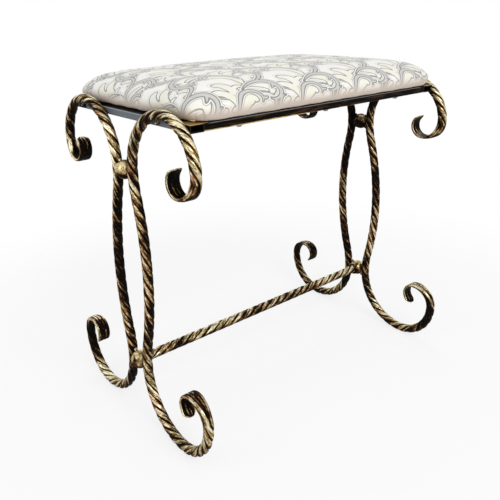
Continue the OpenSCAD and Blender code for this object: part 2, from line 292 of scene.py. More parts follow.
SOCKETS = {
    float: "NodeSocketFloat",
    int: "NodeSocketInt",
    tuple: "NodeSocketVector",
    Material: "NodeSocketMaterial",
}


class GrowthTree:
    """A geometry node tree with named inputs, run once on an object and baked to a plain mesh."""

    def __init__(self, name: str, inputs: dict[str, Any], draw: Callable[[Sketch, dict[str, Wire]], Wire]) -> None:
        """Draws the tree.

        Args:
            name: The tree's name.
            inputs: Default values by input name. Their types give the sockets' types.
            draw: Draws the nodes from the named inputs and returns the geometry, which then
                goes through Realize Instances and Set Material.
        """
        self.tree = bpy.data.node_groups.new(name, "GeometryNodeTree")
        face = self.tree.interface
        face.new_socket("Geometry", in_out="INPUT", socket_type="NodeSocketGeometry")
        face.new_socket("Geometry", in_out="OUTPUT", socket_type="NodeSocketGeometry")
        self.keys = {}
        for label, value in {**inputs, "Material": Material}.items():
            kind = Material if value is Material else type(value)
            socket = face.new_socket(label, in_out="INPUT", socket_type=SOCKETS[kind])
            if kind is not Material:
                socket.default_value = value
            self.keys[label] = socket.identifier
        sketch = Sketch(self.tree)
        given = {s.name: Wire(sketch, s) for s in sketch.add("NodeGroupInput").outputs if s.name}
        grown = sketch.out("GeometryNodeRealizeInstances", {"Geometry": draw(sketch, given)})
        dressed = sketch.out("GeometryNodeSetMaterial", {"Geometry": grown, "Material": given["Material"]})
        sketch.add("NodeGroupOutput", {0: dressed})

    def grow(self, name: str, source: Mesh, material: Material, **values: Any) -> Piece:
        """Runs the tree on a mesh and bakes the result.

        Args:
            name: The piece's name.
            source: The mesh that the tree starts from.
            material: The piece's material.
            values: Input values, with underscores for the spaces in their names.

        Returns:
            The piece, a plain mesh object at the origin.
        """
        seed = bpy.data.objects.new(name + "_source", source)
        bpy.context.scene.collection.objects.link(seed)
        modifier = seed.modifiers.new("growth", "NODES")
        modifier.node_group = self.tree
        for label, value in {**values, "Material": material}.items():
            modifier[self.keys[label.replace("_", " ")]] = value
        mesh = bake(seed)
        bpy.data.objects.remove(seed)
        return new_piece(name, mesh)


# ---------------------------------------------------------------------------------------- meshes


def bake(piece: Piece) -> Mesh:
    """Makes a plain mesh of a piece with its modifiers run.

    Args:
        piece: The piece, whose own mesh stays as it is.

    Returns:
        The new mesh.
    """
    graph = bpy.context.evaluated_depsgraph_get()
    return bpy.data.meshes.new_from_object(piece.evaluated_get(graph), preserve_all_data_layers=True, depsgraph=graph)


def apply(piece: Piece, kind: str, **settings: Any) -> None:
    """Adds a modifier, applies it and puts its result in the piece's own mesh.

    Args:
        piece: The piece.
        kind: The modifier's type.
        settings: The modifier's properties.
    """
    modifier = piece.modifiers.new(kind.lower(), kind)
    for name, value in settings.items():
        setattr(modifier, name, value)
    mesh = bake(piece)
    piece.modifiers.remove(modifier)
    piece.data = mesh


def new_piece(name: str, mesh: Mesh, material: Optional[Material] = None) -> Piece:
    """Links a mesh into the scene as a smooth-shaded piece.

    Args:
        name: The piece's name.
        mesh: Its mesh.
        material: Its material, or None where the mesh has one.

    Returns:
        The piece.
    """
    mesh.name = name
    if material:
        mesh.materials.clear()
        mesh.materials.append(material)
    mesh.shade_smooth()
    piece = bpy.data.objects.new(name, mesh)
    bpy.context.scene.collection.objects.link(piece)
    return piece


def new_mesh(name: str, points: Sequence[Sequence[float]], faces: Sequence[Sequence[int]]) -> Mesh:
    """Makes a mesh of points and faces.

    Args:
        name: The mesh's name.
        points: The points.
        faces: Each face's points, by number.

    Returns:
        The mesh.
    """
    mesh = bpy.data.meshes.new(name)
    mesh.from_pydata(points, [], faces)
    return mesh


def polyline(points: Iterable[Sequence[float]], closed: bool = False) -> Mesh:
    """Makes a mesh of one chain of edges.

    Args:
        points: The chain's points.
        closed: Whether the last point joins the first.

    Returns:
        The mesh.
    """
    spots = [tuple(p) for p in points]
    edges = [(i, i + 1) for i in range(len(spots) - 1)] + ([(len(spots) - 1, 0)] if closed else [])
    mesh = bpy.data.meshes.new("line")
    mesh.from_pydata(spots, edges, [])
    return mesh


def join_lines(lines: Sequence[Mesh]) -> Mesh:
    """Puts several lines in one mesh.

    Args:
        lines: The lines' meshes, which are used up.

    Returns:
        The mesh of all of them.
    """
    joined = bmesh.new()
    for line in lines:
        joined.from_mesh(line)
        bpy.data.meshes.remove(line)
    mesh = bpy.data.meshes.new("lines")
    joined.to_mesh(mesh)
    joined.free()
    return mesh


def read_points(mesh: Mesh) -> np.ndarray:
    """Reads a mesh's points.

    Args:
        mesh: The mesh.

    Returns:
        Rows of x, y and z.
    """
    rows = np.empty(len(mesh.vertices) * 3, dtype=np.float64)
    mesh.vertices.foreach_get("co", rows)
    return rows.reshape(-1, 3)


def read_normals(mesh: Mesh) -> np.ndarray:
    """Reads the normals of a mesh's points.

    Args:
        mesh: The mesh.

    Returns:
        Rows of x, y and z.
    """
    rows = np.empty(len(mesh.vertices) * 3, dtype=np.float32)
    mesh.vertex_normals.foreach_get("vector", rows)
    return rows.reshape(-1, 3).astype(np.float64)


def write_points(mesh: Mesh, rows: np.ndarray) -> None:
    """Writes rows back as a mesh's points."""
    mesh.vertices.foreach_set("co", rows.ravel())
    mesh.update()


def mark_points(mesh: Mesh, name: str, values: np.ndarray) -> None:
    """Stores a value, or a row of three, for each point as a named attribute.

    Args:
        mesh: The mesh.
        name: The attribute's name.
        values: One value or one row for each point.
    """
    kind, part = ("FLOAT", "value") if values.ndim == 1 else ("FLOAT_VECTOR", "vector")
    layer = mesh.attributes.new(name, kind, "POINT")
    layer.data.foreach_set(part, np.ascontiguousarray(values, dtype=np.float32).ravel())


def relax(mesh: Mesh, values: np.ndarray, rounds: int) -> np.ndarray:
    """Evens out a value over a mesh: each round moves every point halfway to its neighbours' mean.

    Args:
        mesh: The mesh.
        values: A value for each point.
        rounds: How often it is evened.

    Returns:
        The evened values.
    """
    pairs = np.empty(len(mesh.edges) * 2, dtype=np.int64)
    mesh.edges.foreach_get("vertices", pairs)
    here, there = pairs.reshape(-1, 2).T
    count = np.maximum(np.bincount(pairs, minlength=len(values)), 1)
    for _ in range(rounds):
        near = np.bincount(here, values[there], len(values)) + np.bincount(there, values[here], len(values))
        values = 0.5 * values + 0.5 * near / count
    return values


def settle(piece: Piece, nodes: Sequence[str] = ()) -> None:
    """Rides a piece on the bench's one body and hides the CAD nodes that it stands for.

    Args:
        piece: The finished piece.
        nodes: The CAD nodes that it stands for.
    """
    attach(piece, "root")
    if nodes:
        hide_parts(*nodes)
    log.info("%s: %d faces", piece.name, len(piece.data.polygons))


def dress(node: str, material: Material) -> None:
    """Gives a CAD node that stays its finish.

    Args:
        node: The node's name.
        material: The finish.
    """
    for slot in bpy.data.objects[node].material_slots:
        slot.material = material
    log.info("%s: finished in %s", node, material.name)


# ---------------------------------------------------------------------------------------- finishes


@dataclass(frozen=True)
class Finish:
    """A finish: a procedural material on object coordinates."""

    name: str

    def make(self) -> Material:
        """Builds the material.

        Returns:
            The material.
        """
        material = bpy.data.materials.new(self.name)
        material.use_nodes = True
        g = Sketch(material.node_tree)
        g.tree.nodes.clear()
        shader = g.add("ShaderNodeBsdfPrincipled")
        g.add("ShaderNodeOutputMaterial", {"Surface": g.wire(shader)})
        self.draw(g, shader, g.out("ShaderNodeTexCoord", output="Object"))
        return material

    def draw(self, g: Sketch, shader: Node, where: Wire) -> None:
        """Draws the finish; each kind has its own way."""
        raise NotImplementedError


@dataclass(frozen=True)
class RubbedIronWithPaintedLight(Finish):
    """Black enamel on iron, rubbed with antique gold where the surface stands proud.

    The fields named for the way a face turns, or for its height, add gold as painted light that stands in
    for the lamps. The one for the far end takes gold away as painted shade, and the one for the middle takes it
    at the near end and adds it at the far end. The bands say how proud a face is where a colour starts and
    where it is full; the palest gold is a painted highlight.
    """

    black: Colour = (0.003, 0.0026, 0.0023)
    copper: Colour = (0.075, 0.032, 0.014)
    gold: Colour = (0.30, 0.205, 0.065)
    olive: Colour = (0.24, 0.21, 0.085)
    amber: Colour = (0.36, 0.17, 0.045)
    highlight_gold: Colour = (0.86, 0.80, 0.58)
    copper_band: Band = (0.27, 0.42)
    gold_band: Band = (0.42, 0.60)
    highlight_band: Band = (0.62, 0.90)
    groove_band: Band = (0.20, 0.06)
    rub: float = 0.0
    patch_scale: float = 13.0
    stroke_scale: float = 110.0
    speck_scale: float = 800.0
    hue_scale: float = 34.0
    # painted light and shade: these add gold to faces by the way they turn and by their height, and change it at the
    # far end and in the middle
    painted_light_from_above: float = 0.34
    painted_light_outward: float = 0.15
    painted_light_endward: float = 0.12
    painted_light_with_height: float = 0.25
    far_end_painted_shade: float = 0.12
    middle_painted_shading: float = 0.18
    painted_light_from_left: float = 0.15
    left_bars_differ: float = 0.12
    waist_z: float = 0.24
    level_z: float = 0.25
    brushed_along: bool = False

    def brush(self, g: Sketch, where: Wire) -> tuple[Wire, Wire]:
        """Draws the brush's strokes and specks, along the strands of a twisted bar or all over.

        Args:
            g: The sketch.
            where: The object coordinates.

        Returns:
            The strokes and the specks, each 0..1.
        """
        if self.brushed_along:
            strand = g.attribute("strand", "Vector")
            strokes = g.noise(strand * (2.2, 2.2, 0.55), self.stroke_scale, detail=3.0, seed=1.7)
            return strokes, g.noise(strand * (1.6, 1.6, 0.35), self.speck_scale, detail=3.0, seed=5.3)
        strokes = g.noise(where, self.stroke_scale, detail=4.0, seed=1.7)
        return strokes, g.noise(where, self.speck_scale, detail=3.0, seed=5.3)

    def by_region(self, g: Sketch, where: Wire, ahead: Wire, middle: Wire) -> list[Wire]:
        """Says how the gold differs between the near and the far end, and between the bars. The far end gets
        painted shade. The middle between the balls gets painted shade at the near end and painted light at the
        far end. Faces turned left and higher parts get painted light.

        Args:
            g: The sketch.
            where: The object coordinates.
            ahead: The normal's X.
            middle: 1 between the balls and 0 beyond them.

        Returns:
            What each region adds to how proud the surface is.
        """
        x, y, z = g.split(where)
        far = g.ease(x, -0.10, 0.20)
        left = g.ease(x, -0.20, -0.222)
        by_the_feet = g.ease(z, 0.12, 0.05)
        rear_lift = g.ease(z, 0.17, 0.25) * self.left_bars_differ
        uneven = g.blend(g.ease(y, -0.01, 0.01), -self.left_bars_differ, rear_lift)
        return [
            far * g.blend(by_the_feet, -self.far_end_painted_shade, -0.4 * self.far_end_painted_shade),
            middle * g.blend(far, -self.middle_painted_shading, 0.5 * self.middle_painted_shading),
            middle * ahead * -self.painted_light_from_left,
            middle * left * uneven,
            (z - self.level_z) * self.painted_light_with_height,
        ]

    def draw(self, g: Sketch, shader: Node, where: Wire) -> None:
        """Draws the finish on a piece that carries the attribute crown.

        Args:
            g: The sketch.
            shader: The shader node.
            where: The object coordinates.
        """
        patches = g.noise(where, self.patch_scale, detail=2.0, seed=3.1)
        strokes, specks = self.brush(g, where)
        crown = g.attribute("crown")
        x, y, z = g.split(where)
        ahead, side, up = g.split(g.out("ShaderNodeNewGeometry", output="Normal"))
        middle = g.ease(abs(z - self.waist_z), 0.17, 0.09)
        proud = g.ease(crown, 0.15, 0.70) * 0.45
        # painted light and shade: beside the crown, faces turned up, outward and to their end gain gold as if lit, and
        # the region terms add painted light and shade
        for share in (
            up * self.painted_light_from_above,
            side * g.math("SIGN", y) * self.painted_light_outward,
            ahead * g.math("SIGN", x) * self.painted_light_endward,
            *self.by_region(g, where, ahead, middle),
            g.off_centre(patches, 1.5), g.off_centre(strokes, 1.9), g.off_centre(specks, 0.9), self.rub,
        ):
            proud = proud + share
        brown = g.most(g.ease(proud, *self.copper_band), g.ease(specks, 0.55, 0.66) * 0.55)
        golden = g.ease(proud, *self.gold_band)
        # painted highlight: the palest gold lies on the proudest, most lit faces
        highlight_share = g.ease(proud + g.off_centre(specks, 0.8), *self.highlight_band)
        hue = g.noise(where, self.hue_scale, detail=2.0, seed=8.8)
        # painted shade: faces turned down are tinted amber, as the shaded undersides; the hue noise and the middle also
        # warm the tone
        warmth = g.ease(hue, 0.54, 0.68) + g.ease(up, 0.1, -0.6) * 0.7 + middle * 0.55
        warm = g.tint(warmth, self.gold, self.amber)
        metal = g.tint(highlight_share, g.tint(g.ease(hue, 0.44, 0.32), warm, self.olive), self.highlight_gold)
        colour = g.tint(golden, g.tint(brown, self.black, self.copper), metal)
        g.finish(
            shader,
            Base_Color=g.tint(g.ease(crown, *self.groove_band), colour, self.black),
            Metallic=golden * 0.7,
            Roughness=g.blend(golden, 0.45, 0.36) + g.off_centre(specks, 0.25),
            Specular_IOR_Level=0.02,
            Normal=g.bump(strokes * 0.7 + specks * 0.3, strength=0.5, distance=0.6 * MM),
        )


@dataclass(frozen=True)
class TubePaint(Finish):
    """Satin paint on drawn tube, with gold rubbed along its lower edge and round the frame's corners.

    low_rub says how much of the gold and of the brown brush marks a tube has. A thin painted highlight runs along the
    top edge, and the upward faces are painted near black as the shade under the cushion.
    """

    paint: Colour
    gold: Colour = (0.55, 0.38, 0.13)
    shine: Colour = (0.55, 0.54, 0.50)
    brown: Colour = (0.045, 0.022, 0.011)
    near_black: Colour = (0.004, 0.0035, 0.003)
    low_z: float = 436.5 * MM
    high_z: float = 446.5 * MM
    side_y: float = 145 * MM
    low_rub: float = 1.0
    edge: float = 2.4 * MM
    corner: tuple[float, float] = (225 * MM, 140 * MM)
    corner_reach: float = 60 * MM
    gloss: float = 0.02

    def draw(self, g: Sketch, shader: Node, where: Wire) -> None:
        """Draws the finish.

        Args:
            g: The sketch.
            shader: The shader node.
            where: The object coordinates.
        """
        x, y, z = g.split(where)
        up = g.split(g.out("ShaderNodeNewGeometry", output="Normal"))[2]
        strokes = g.noise(where * (0.25, 0.25, 1.0), scale=420.0, detail=3.0, seed=2.2)
        patches = g.noise(where, scale=22.0, detail=2.0, seed=4.4)
        streaks = g.noise(where * (0.10, 0.10, 1.0), scale=260.0, detail=3.0, seed=6.1)
        away = g.vector("LENGTH", (abs(where) - (*self.corner, 0.0)) * (1.0, 1.0, 0.0))
        near = g.ease(away, self.corner_reach, 0.15 * self.corner_reach)
        outermost = g.ease(abs(y), self.side_y - self.edge, self.side_y - 0.4 * self.edge)
        low = g.ease(z, self.low_z + self.edge, self.low_z + 0.4 * self.edge) * (outermost * self.low_rub)
        high = g.ease(z, self.high_z - 0.5 * self.edge, self.high_z) * near
        touched = g.most(g.most(low, high), near * 0.22)
        along = g.blend(g.ease(x, 0.10, -0.16), 0.45, 1.0)
        worn = touched * along * g.blend(near, 0.85, 1.15) + g.off_centre(strokes, 1.2) + g.off_centre(patches, 1.2)
        golden = g.ease(worn, 0.50, 0.80) * g.ease(touched, 0.0, 0.3)
        # painted highlight: a thin pale line along the top edge
        top_highlight = g.ease(z, self.high_z - 1.9 * MM, self.high_z - 1.2 * MM) * g.ease(up, 0.9, 0.6)
        brushed = g.tint(g.ease(streaks, 0.50, 0.66) * self.low_rub, self.paint, self.brown)
        lit = g.tint(top_highlight * 0.35, brushed, self.shine)
        # painted shade: the upward faces, under the cushion's edge, turn near black
        base = g.tint(g.ease(up, 0.8, 0.95), lit, self.near_black)
        # darker round the frame's corners
        corners_darkened = g.tint(g.ease(away, 0.5 * self.corner_reach, 0.35 * self.corner_reach), base, self.near_black)
        g.finish(
            shader,
            Base_Color=g.tint(golden, corners_darkened, self.gold),
            Metallic=golden * 0.7,
            Roughness=g.off_centre(strokes, 0.2) + 0.40,
            Specular_IOR_Level=self.gloss,
            Normal=g.bump(strokes, strength=0.25, distance=0.3 * MM),
        )


@dataclass(frozen=True)
class PatternedCloth(Finish):
    """Woven cream cloth with grey scrolls and pale yellow leaves, in thin darker outlines.

    The piece carries the place on the flat cloth and the distances to the pattern's edges, which
    are in millimetres, as the widths of the outlines are.
    """

    name: str = "scroll_cloth"
    ground: Colour = (0.96, 0.95, 0.92)
    grey: Colour = (0.58, 0.57, 0.545)
    yellow: Colour = (0.88, 0.865, 0.74)
    line: Colour = (0.13, 0.125, 0.12)
    shade: Colour = (0.60, 0.50, 0.42)
    thread: Colour = (0.55, 0.53, 0.48)
    thread_scale: float = 1400.0
    soft_edge: float = 0.35
    outline: float = 1.3
    fine_line: float = 0.9
    vein: float = 3.4
    halo: float = 2.6
    low_z: float = 449 * MM
    shaded_z: float = 468 * MM

    @staticmethod
    def contour(g: Sketch, edge: Wire, at: float, width: float) -> Wire:
        """Draws a thin line where a distance has one value."""
        return g.ease(abs(edge - at), width, width / 3)

    def draw(self, g: Sketch, shader: Node, where: Wire) -> None:
        """Draws the finish.

        Args:
            g: The sketch.
            shader: The shader node.
            where: The object coordinates.
        """
        cloth = g.attribute("cloth", "Vector")
        grey_edge, leaf_edge = g.attribute("grey_edge"), g.attribute("leaf_edge")
        in_grey = g.ease(grey_edge, self.soft_edge, -self.soft_edge)
        in_leaf = g.ease(leaf_edge, self.soft_edge, -self.soft_edge)
        mottle = g.noise(cloth, scale=40.0, detail=2.0, seed=0.4)
        blotches = g.noise(where, scale=30.0, detail=3.0, seed=5.0)
        height = g.split(where)[2]
        colour = self.ground
        for share, over in (
            (g.ease(mottle, 0.4, 0.7) * 0.35, self.yellow),
            (in_leaf * g.blend(g.ease(mottle, 0.35, 0.6), 0.55, 1.0), self.yellow),
            (self.contour(g, leaf_edge, 0.0, self.outline) * 0.85, self.line),
            (self.contour(g, leaf_edge, self.vein, self.fine_line) * 0.25, self.line),
            (g.ease(grey_edge, self.halo + 0.3, self.halo - 0.3), self.ground),
            (self.contour(g, grey_edge, self.halo, self.fine_line) * 0.5, self.line),
            (in_grey * 0.9, self.grey),
            (self.contour(g, grey_edge, 0.0, self.outline) * 0.85, self.line),
            (g.ease(height, self.shaded_z, self.low_z) * g.blend(blotches, 0.95, 1.45), self.shade),
        ):
            colour = g.tint(share, colour, over)
        x, y, _ = g.split(cloth)
        warp, weft = (g.math("SINE", way * (self.thread_scale * FULL)) for way in (x, y))
        weave = (warp * weft + 1.0) * 0.5
        g.finish(
            shader,
            Base_Color=g.tint(weave * 0.10, colour, self.thread),
            Roughness=0.82,
            Sheen_Weight=0.25,
            Sheen_Roughness=0.5,
            Normal=g.bump(weave + in_grey * 0.8, strength=0.25, distance=0.2 * MM),
        )


@dataclass(frozen=True)
class FeltLining(Finish):
    """Black spun-bonded lining."""

    name: str = "spun_lining"
    black: Colour = (0.022, 0.022, 0.025)
    grey: Colour = (0.07, 0.07, 0.075)

    def draw(self, g: Sketch, shader: Node, where: Wire) -> None:
        """Draws the finish.

        Args:
            g: The sketch.
            shader: The shader node.
            where: The object coordinates.
        """
        fibres = g.noise(where * (1.0, 3.0, 1.0), scale=500.0, detail=5.0, seed=0.9)
        g.finish(
            shader,
            Base_Color=g.tint(g.ease(fibres, 0.45, 0.7), self.black, self.grey),
            Roughness=0.95,
            Normal=g.bump(fibres, strength=0.4, distance=0.2 * MM),
        )


@dataclass(frozen=True)
class PlyWood(Finish):
    """Raw plywood, with grain on its faces and plies along its edge."""

    name: str = "raw_ply"
    pale: Colour = (0.62, 0.45, 0.27)
    dark: Colour = (0.36, 0.22, 0.11)
    ply_pair: float = 3.2 * MM

    def draw(self, g: Sketch, shader: Node, where: Wire) -> None:
        """Draws the finish.

        Args:
            g: The sketch.
            shader: The shader node.
            where: The object coordinates.
        """
        grain = g.noise(where * (1.0, 14.0, 1.0), scale=12.0, detail=5.0, seed=0.2)
        plies = g.math("SINE", g.split(where)[2] * (FULL / self.ply_pair))
        shade = g.clamp01(g.ease(grain, 0.35, 0.7) + plies * 0.2)
        g.finish(shader, Base_Color=g.tint(shade, self.pale, self.dark), Roughness=0.7)


@dataclass(frozen=True)
class ZincSteel(Finish):
    """Dulled zinc plating with a fine mottle."""

    name: str = "zinc"
    bright: Colour = (0.30, 0.305, 0.315)
    dull: Colour = (0.16, 0.165, 0.175)

    def draw(self, g: Sketch, shader: Node, where: Wire) -> None:
        """Draws the finish.

        Args:
            g: The sketch.
            shader: The shader node.
            where: The object coordinates.
        """
        mottle = g.noise(where, scale=700.0, detail=4.0, seed=0.6)
        g.finish(
            shader,
            Base_Color=g.tint(g.ease(mottle, 0.35, 0.7), self.bright, self.dull),
            Roughness=g.off_centre(mottle, 0.2) + 0.32,
            Metallic=1.0,
        )


@dataclass(frozen=True)
class PaleFloor(Finish):
    """Matt pale floor that looks white away from the bench and keeps its shadow."""

    name: str = "pale_floor"
    matt: Colour = (0.93, 0.93, 0.93)
    white: Colour = (1.0, 1.0, 1.0)
    near_share: float = 0.78
    shadow_band: Band = (0.40, 0.95)

    def draw(self, g: Sketch, shader: Node, where: Wire) -> None:
        """Draws the finish.

        Args:
            g: The sketch.
            shader: The shader node.
            where: The object coordinates.
        """
        g.finish(shader, Base_Color=self.matt, Roughness=0.9)
        away = g.ease(g.vector("LENGTH", where * (1.0, 1.0, 0.0)), *self.shadow_band)
        share = g.blend(away, self.near_share, 1.0) * g.seen()
        glow = g.out("ShaderNodeEmission", {"Color": self.white, "Strength": 1.0})
        both = g.out("ShaderNodeMixShader", {0: share, 1: g.wire(shader), 2: glow})
        g.feed(g.tree.get_output_node("ALL").inputs["Surface"], both)


# ---------------------------------------------------------------------------------------- end frames


def draw_twisted_bar(g: Sketch, given: dict[str, Wire]) -> Wire:
    """Draws a bar of twisted strands along a line, flattened at its ends.

    Args:
        g: The sketch of the tree.
        given: The tree's inputs.

    Returns:
        The bar's mesh, with the attribute crown: 0 in a groove and 1 on a strand.
    """
    notch_power, ridge_power, slab_power_x, slab_power_y = 2.2, 2.5, 0.62, 0.40
    line = g.out("GeometryNodeMeshToCurve", {"Mesh": given["Geometry"]})
    length = g.out("GeometryNodeCurveLength", {"Curve": line})
    size = {"Vertices": given["Points around"], "Side Segments": given["Rings"], "Radius": 1.0, "Depth": length}
    rod = g.out("GeometryNodeMeshCylinder", {**size, "Fill Segments": 3}, "Mesh", fill_type="TRIANGLE_FAN")
    x, y, s = g.split(g.out("GeometryNodeInputPosition"))
    half = length * 0.5
    reach = (x * x + y * y) ** 0.5
    strand_angle = g.math("ARCTAN2", y, x)
    twisted = half - given["Flat length"]
    turn = g.most(g.least(s / twisted, 1.0), -1.0) * given["Turns"]
    angle = strand_angle + turn * FULL
    past = abs(s) - twisted
    flat = g.ease(past / given["Flare length"], 0.0, 1.0) * given["Flatness"]
    to_tip = half - abs(s)
    # the twisted part: four round strands with a notch between them
    lobes = abs(g.math("SINE", strand_angle * 2.0))
    notch = (1.0 - lobes) ** notch_power
    radius = given["Radius"] - notch * given["Groove depth"]
    across_c, across_s = g.math("COSINE", angle), g.math("SINE", angle)
    # the flat end: a rounded slab with fanned ridges
    slab_x = g.math("SIGN", across_c) * abs(across_c) ** slab_power_x
    slab_y = g.math("SIGN", across_s) * abs(across_s) ** slab_power_y
    ridge_wave = abs(g.math("SINE", (slab_x + 1.0) * (given["Ridges"] * QUARTER)))
    ridge_notch = (1.0 - ridge_wave) ** 2.0 * given["Ridge depth"]
    tip = g.ease(to_tip, given["Tip length"] * -0.35, given["Tip length"]) ** 0.5
    thin = g.blend(g.ease(to_tip, 0.0, given["Tip length"] * 1.6), given["Tip share"], 1.0)
    flat_x = slab_x * tip * (given["Flat width"] * 0.5)
    flat_y = slab_y * (given["Flat thickness"] * 0.5 * thin - ridge_notch)
    # the section at each ring, with hammer dents
    dents = g.noise(g.join(across_c * 0.9, across_s * 0.9, s * 95.0), scale=1.3, detail=2.0, seed=given["Seed"])
    swell = (dents - 0.5) * given["Dents"] + 1.0
    section_x = g.blend(flat, radius * across_c, flat_x) * reach * swell
    section_y = g.blend(flat, radius * across_s, flat_y) * reach * swell
    # the section's place along the line
    spot = g.add("GeometryNodeSampleCurve", {"Curves": line, "Length": s + half}, mode="LENGTH", use_all_curves=True)
    tangent = g.vector("NORMALIZE", g.wire(spot, "Tangent"))
    rise = g.vector("CROSS_PRODUCT", given["Across"], tangent) * given["Side"]
    rounding = (1.0 - reach * reach) * given["End bulge"]
    along = tangent * (rounding * g.math("SIGN", s))
    place = (g.wire(spot, "Position") + given["Across"] * section_x) + (rise * section_y + along)
    # what the finish reads
    rim = g.ease(abs(slab_x), 0.80, 0.97)
    ridge = ridge_wave ** ridge_power * g.blend(g.ease(slab_y, -0.3, 0.3), 0.2, 1.0)
    crowned = g.store(rod, "crown", g.blend(flat, lobes, g.most(rim, ridge)))
    stored = g.store(crowned, "strand", g.join(x * given["Radius"], y * given["Radius"], s))
    moved = g.out("GeometryNodeSetPosition", {"Geometry": stored, "Position": place})
    turned = g.out("GeometryNodeFlipFaces", {"Mesh": moved})
    flipped = g.math("GREATER_THAN", given["Side"], 0.0)
    return g.out("GeometryNodeSwitch", {"Switch": flipped, "False": moved, "True": turned}, input_type="GEOMETRY")


def draw_forged_lumps(g: Sketch, given: dict[str, Wire]) -> Wire:
    """Draws a hammered lump on each point: a ball, or a bead of weld.

    Args:
        g: The sketch of the tree.
        given: The tree's inputs.

    Returns:
        The lumps' mesh, with the attribute crown: 0 in a dent and 1 where the surface stands proud.
    """
    lump = g.out("GeometryNodeMeshIcoSphere", {"Radius": given["Radius"], "Subdivisions": given["Fineness"]})
    turns = {0: (0.0, 0.0, 0.0), 1: (FULL, FULL, FULL), "Seed": given["Seed"]}
    spin = g.out("FunctionNodeRandomValue", turns, data_type="FLOAT_VECTOR")
    spread = g.out("GeometryNodeInstanceOnPoints", {"Points": given["Geometry"], "Instance": lump, "Rotation": spin})
    real = g.out("GeometryNodeRealizeInstances", {"Geometry": spread})
    where = g.out("GeometryNodeInputPosition")
    lumpy = g.noise(where, given["Dent scale"], detail=2.0, seed=given["Seed"] + 0.37)
    cell = {"Vector": where, "Scale": given["Dent scale"], "Smoothness": 0.6}
    cells = g.out("ShaderNodeTexVoronoi", cell, "Distance", feature="SMOOTH_F1")
    height = g.off_centre(lumpy, 1.4) + g.off_centre(cells, -0.9)
    stored = g.store(real, "crown", g.clamp01(height + 0.62))
    push = g.out("GeometryNodeInputNormal") * (height * given["Dent depth"])
    return g.out("GeometryNodeSetPosition", {"Geometry": stored, "Offset": push})


def draw_bead_run(g: Sketch, given: dict[str, Wire]) -> Wire:
    """Draws rippled beads of weld along lines, open or closed.

    Args:
        g: The sketch of the tree.
        given: The tree's inputs.

    Returns:
        The beads' mesh, with the attribute crown.
    """
    line = g.out("GeometryNodeMeshToCurve", {"Mesh": given["Geometry"]})
    profile = g.out("GeometryNodeCurvePrimitiveCircle", {"Resolution": 14, "Radius": given["Radius"]})
    run = g.out("GeometryNodeCurveToMesh", {"Curve": line, "Profile Curve": profile, "Fill Caps": True})
    wave = g.noise(g.out("GeometryNodeInputPosition"), scale=520.0, detail=2.0, seed=given["Seed"])
    push = g.out("GeometryNodeInputNormal") * (g.off_centre(wave, 2.0) * given["Ripple"])
    return g.out("GeometryNodeSetPosition", {"Geometry": g.store(run, "crown", wave), "Offset": push})


@dataclass(frozen=True)
class BendPath:
    """The centre line of a scroll bar, as a chain of arcs from its waist outward, the same at both ends."""

    ball_r: float = 13 * MM
    bar_r: float = 7 * MM
    gap: float = 0.3 * MM
    bow_r: float = 400 * MM
    bow_turn: float = math.radians(15.4)
    neck_r: float = 130 * MM
    neck_turn: float = math.radians(2)
    shoulder_r: float = 81 * MM
    crest_r: float = 62 * MM
    curl_r: float = 30 * MM
    curl_turn: float = math.radians(98)
    roll_r: float = 17 * MM
    roll_turn: float = math.radians(156)
    foot_cut: float = 0.7 * MM

    @property
    def neck_u(self) -> float:
        """Distance of the neck from the middle plane."""
        return self.ball_r + self.bar_r + self.gap

    @property
    def ball_h(self) -> float:
        """Height of a ball above or below the waist."""
        return (self.bow_r + self.neck_r) * math.sin(self.bow_turn)

    @property
    def waist_z(self) -> float:
        """Height of the waist above the floor."""
        return float(self.half_line()[:, 1].max()) + self.bar_r - self.foot_cut

    @property
    def length(self) -> float:
        """Length of the whole bar."""
        return 2 * sum(radius * abs(turn) for radius, turn in self.bends())

    def bends(self) -> list[tuple[float, float]]:
        """Gives each arc's radius and turn; a positive turn goes outward and down.

        Returns:
            The arcs, from the waist outward.
        """
        return [
            (self.bow_r, -self.bow_turn),
            (self.neck_r, self.bow_turn + self.neck_turn),
            (self.shoulder_r, QUARTER - self.neck_turn),
            (self.crest_r, QUARTER),
            (self.curl_r, self.curl_turn),
            (self.roll_r, self.roll_turn),
        ]

    def half_line(self, step: float = 0.8 * MM) -> np.ndarray:
        """Walks the arcs from the waist.

        Args:
            step: The largest distance between two points.

        Returns:
            The points, as rows of distance from the middle plane and height above the waist.
        """
        waist_u = self.neck_u + (self.bow_r + self.neck_r) * (1 - math.cos(self.bow_turn))
        spot, heading = np.array([waist_u, 0.0]), QUARTER
        rows = [spot]
        for radius, turn in self.bends():
            way = math.copysign(1.0, turn)
            centre = spot + radius * way * np.array([math.sin(heading), -math.cos(heading)])
            count = max(4, math.ceil(radius * abs(turn) / step))
            for i in range(1, count + 1):
                now = heading - turn * i / count
                rows.append(centre - radius * way * np.array([math.sin(now), -math.cos(now)]))
            spot, heading = rows[-1], heading - turn
        return np.array(rows)


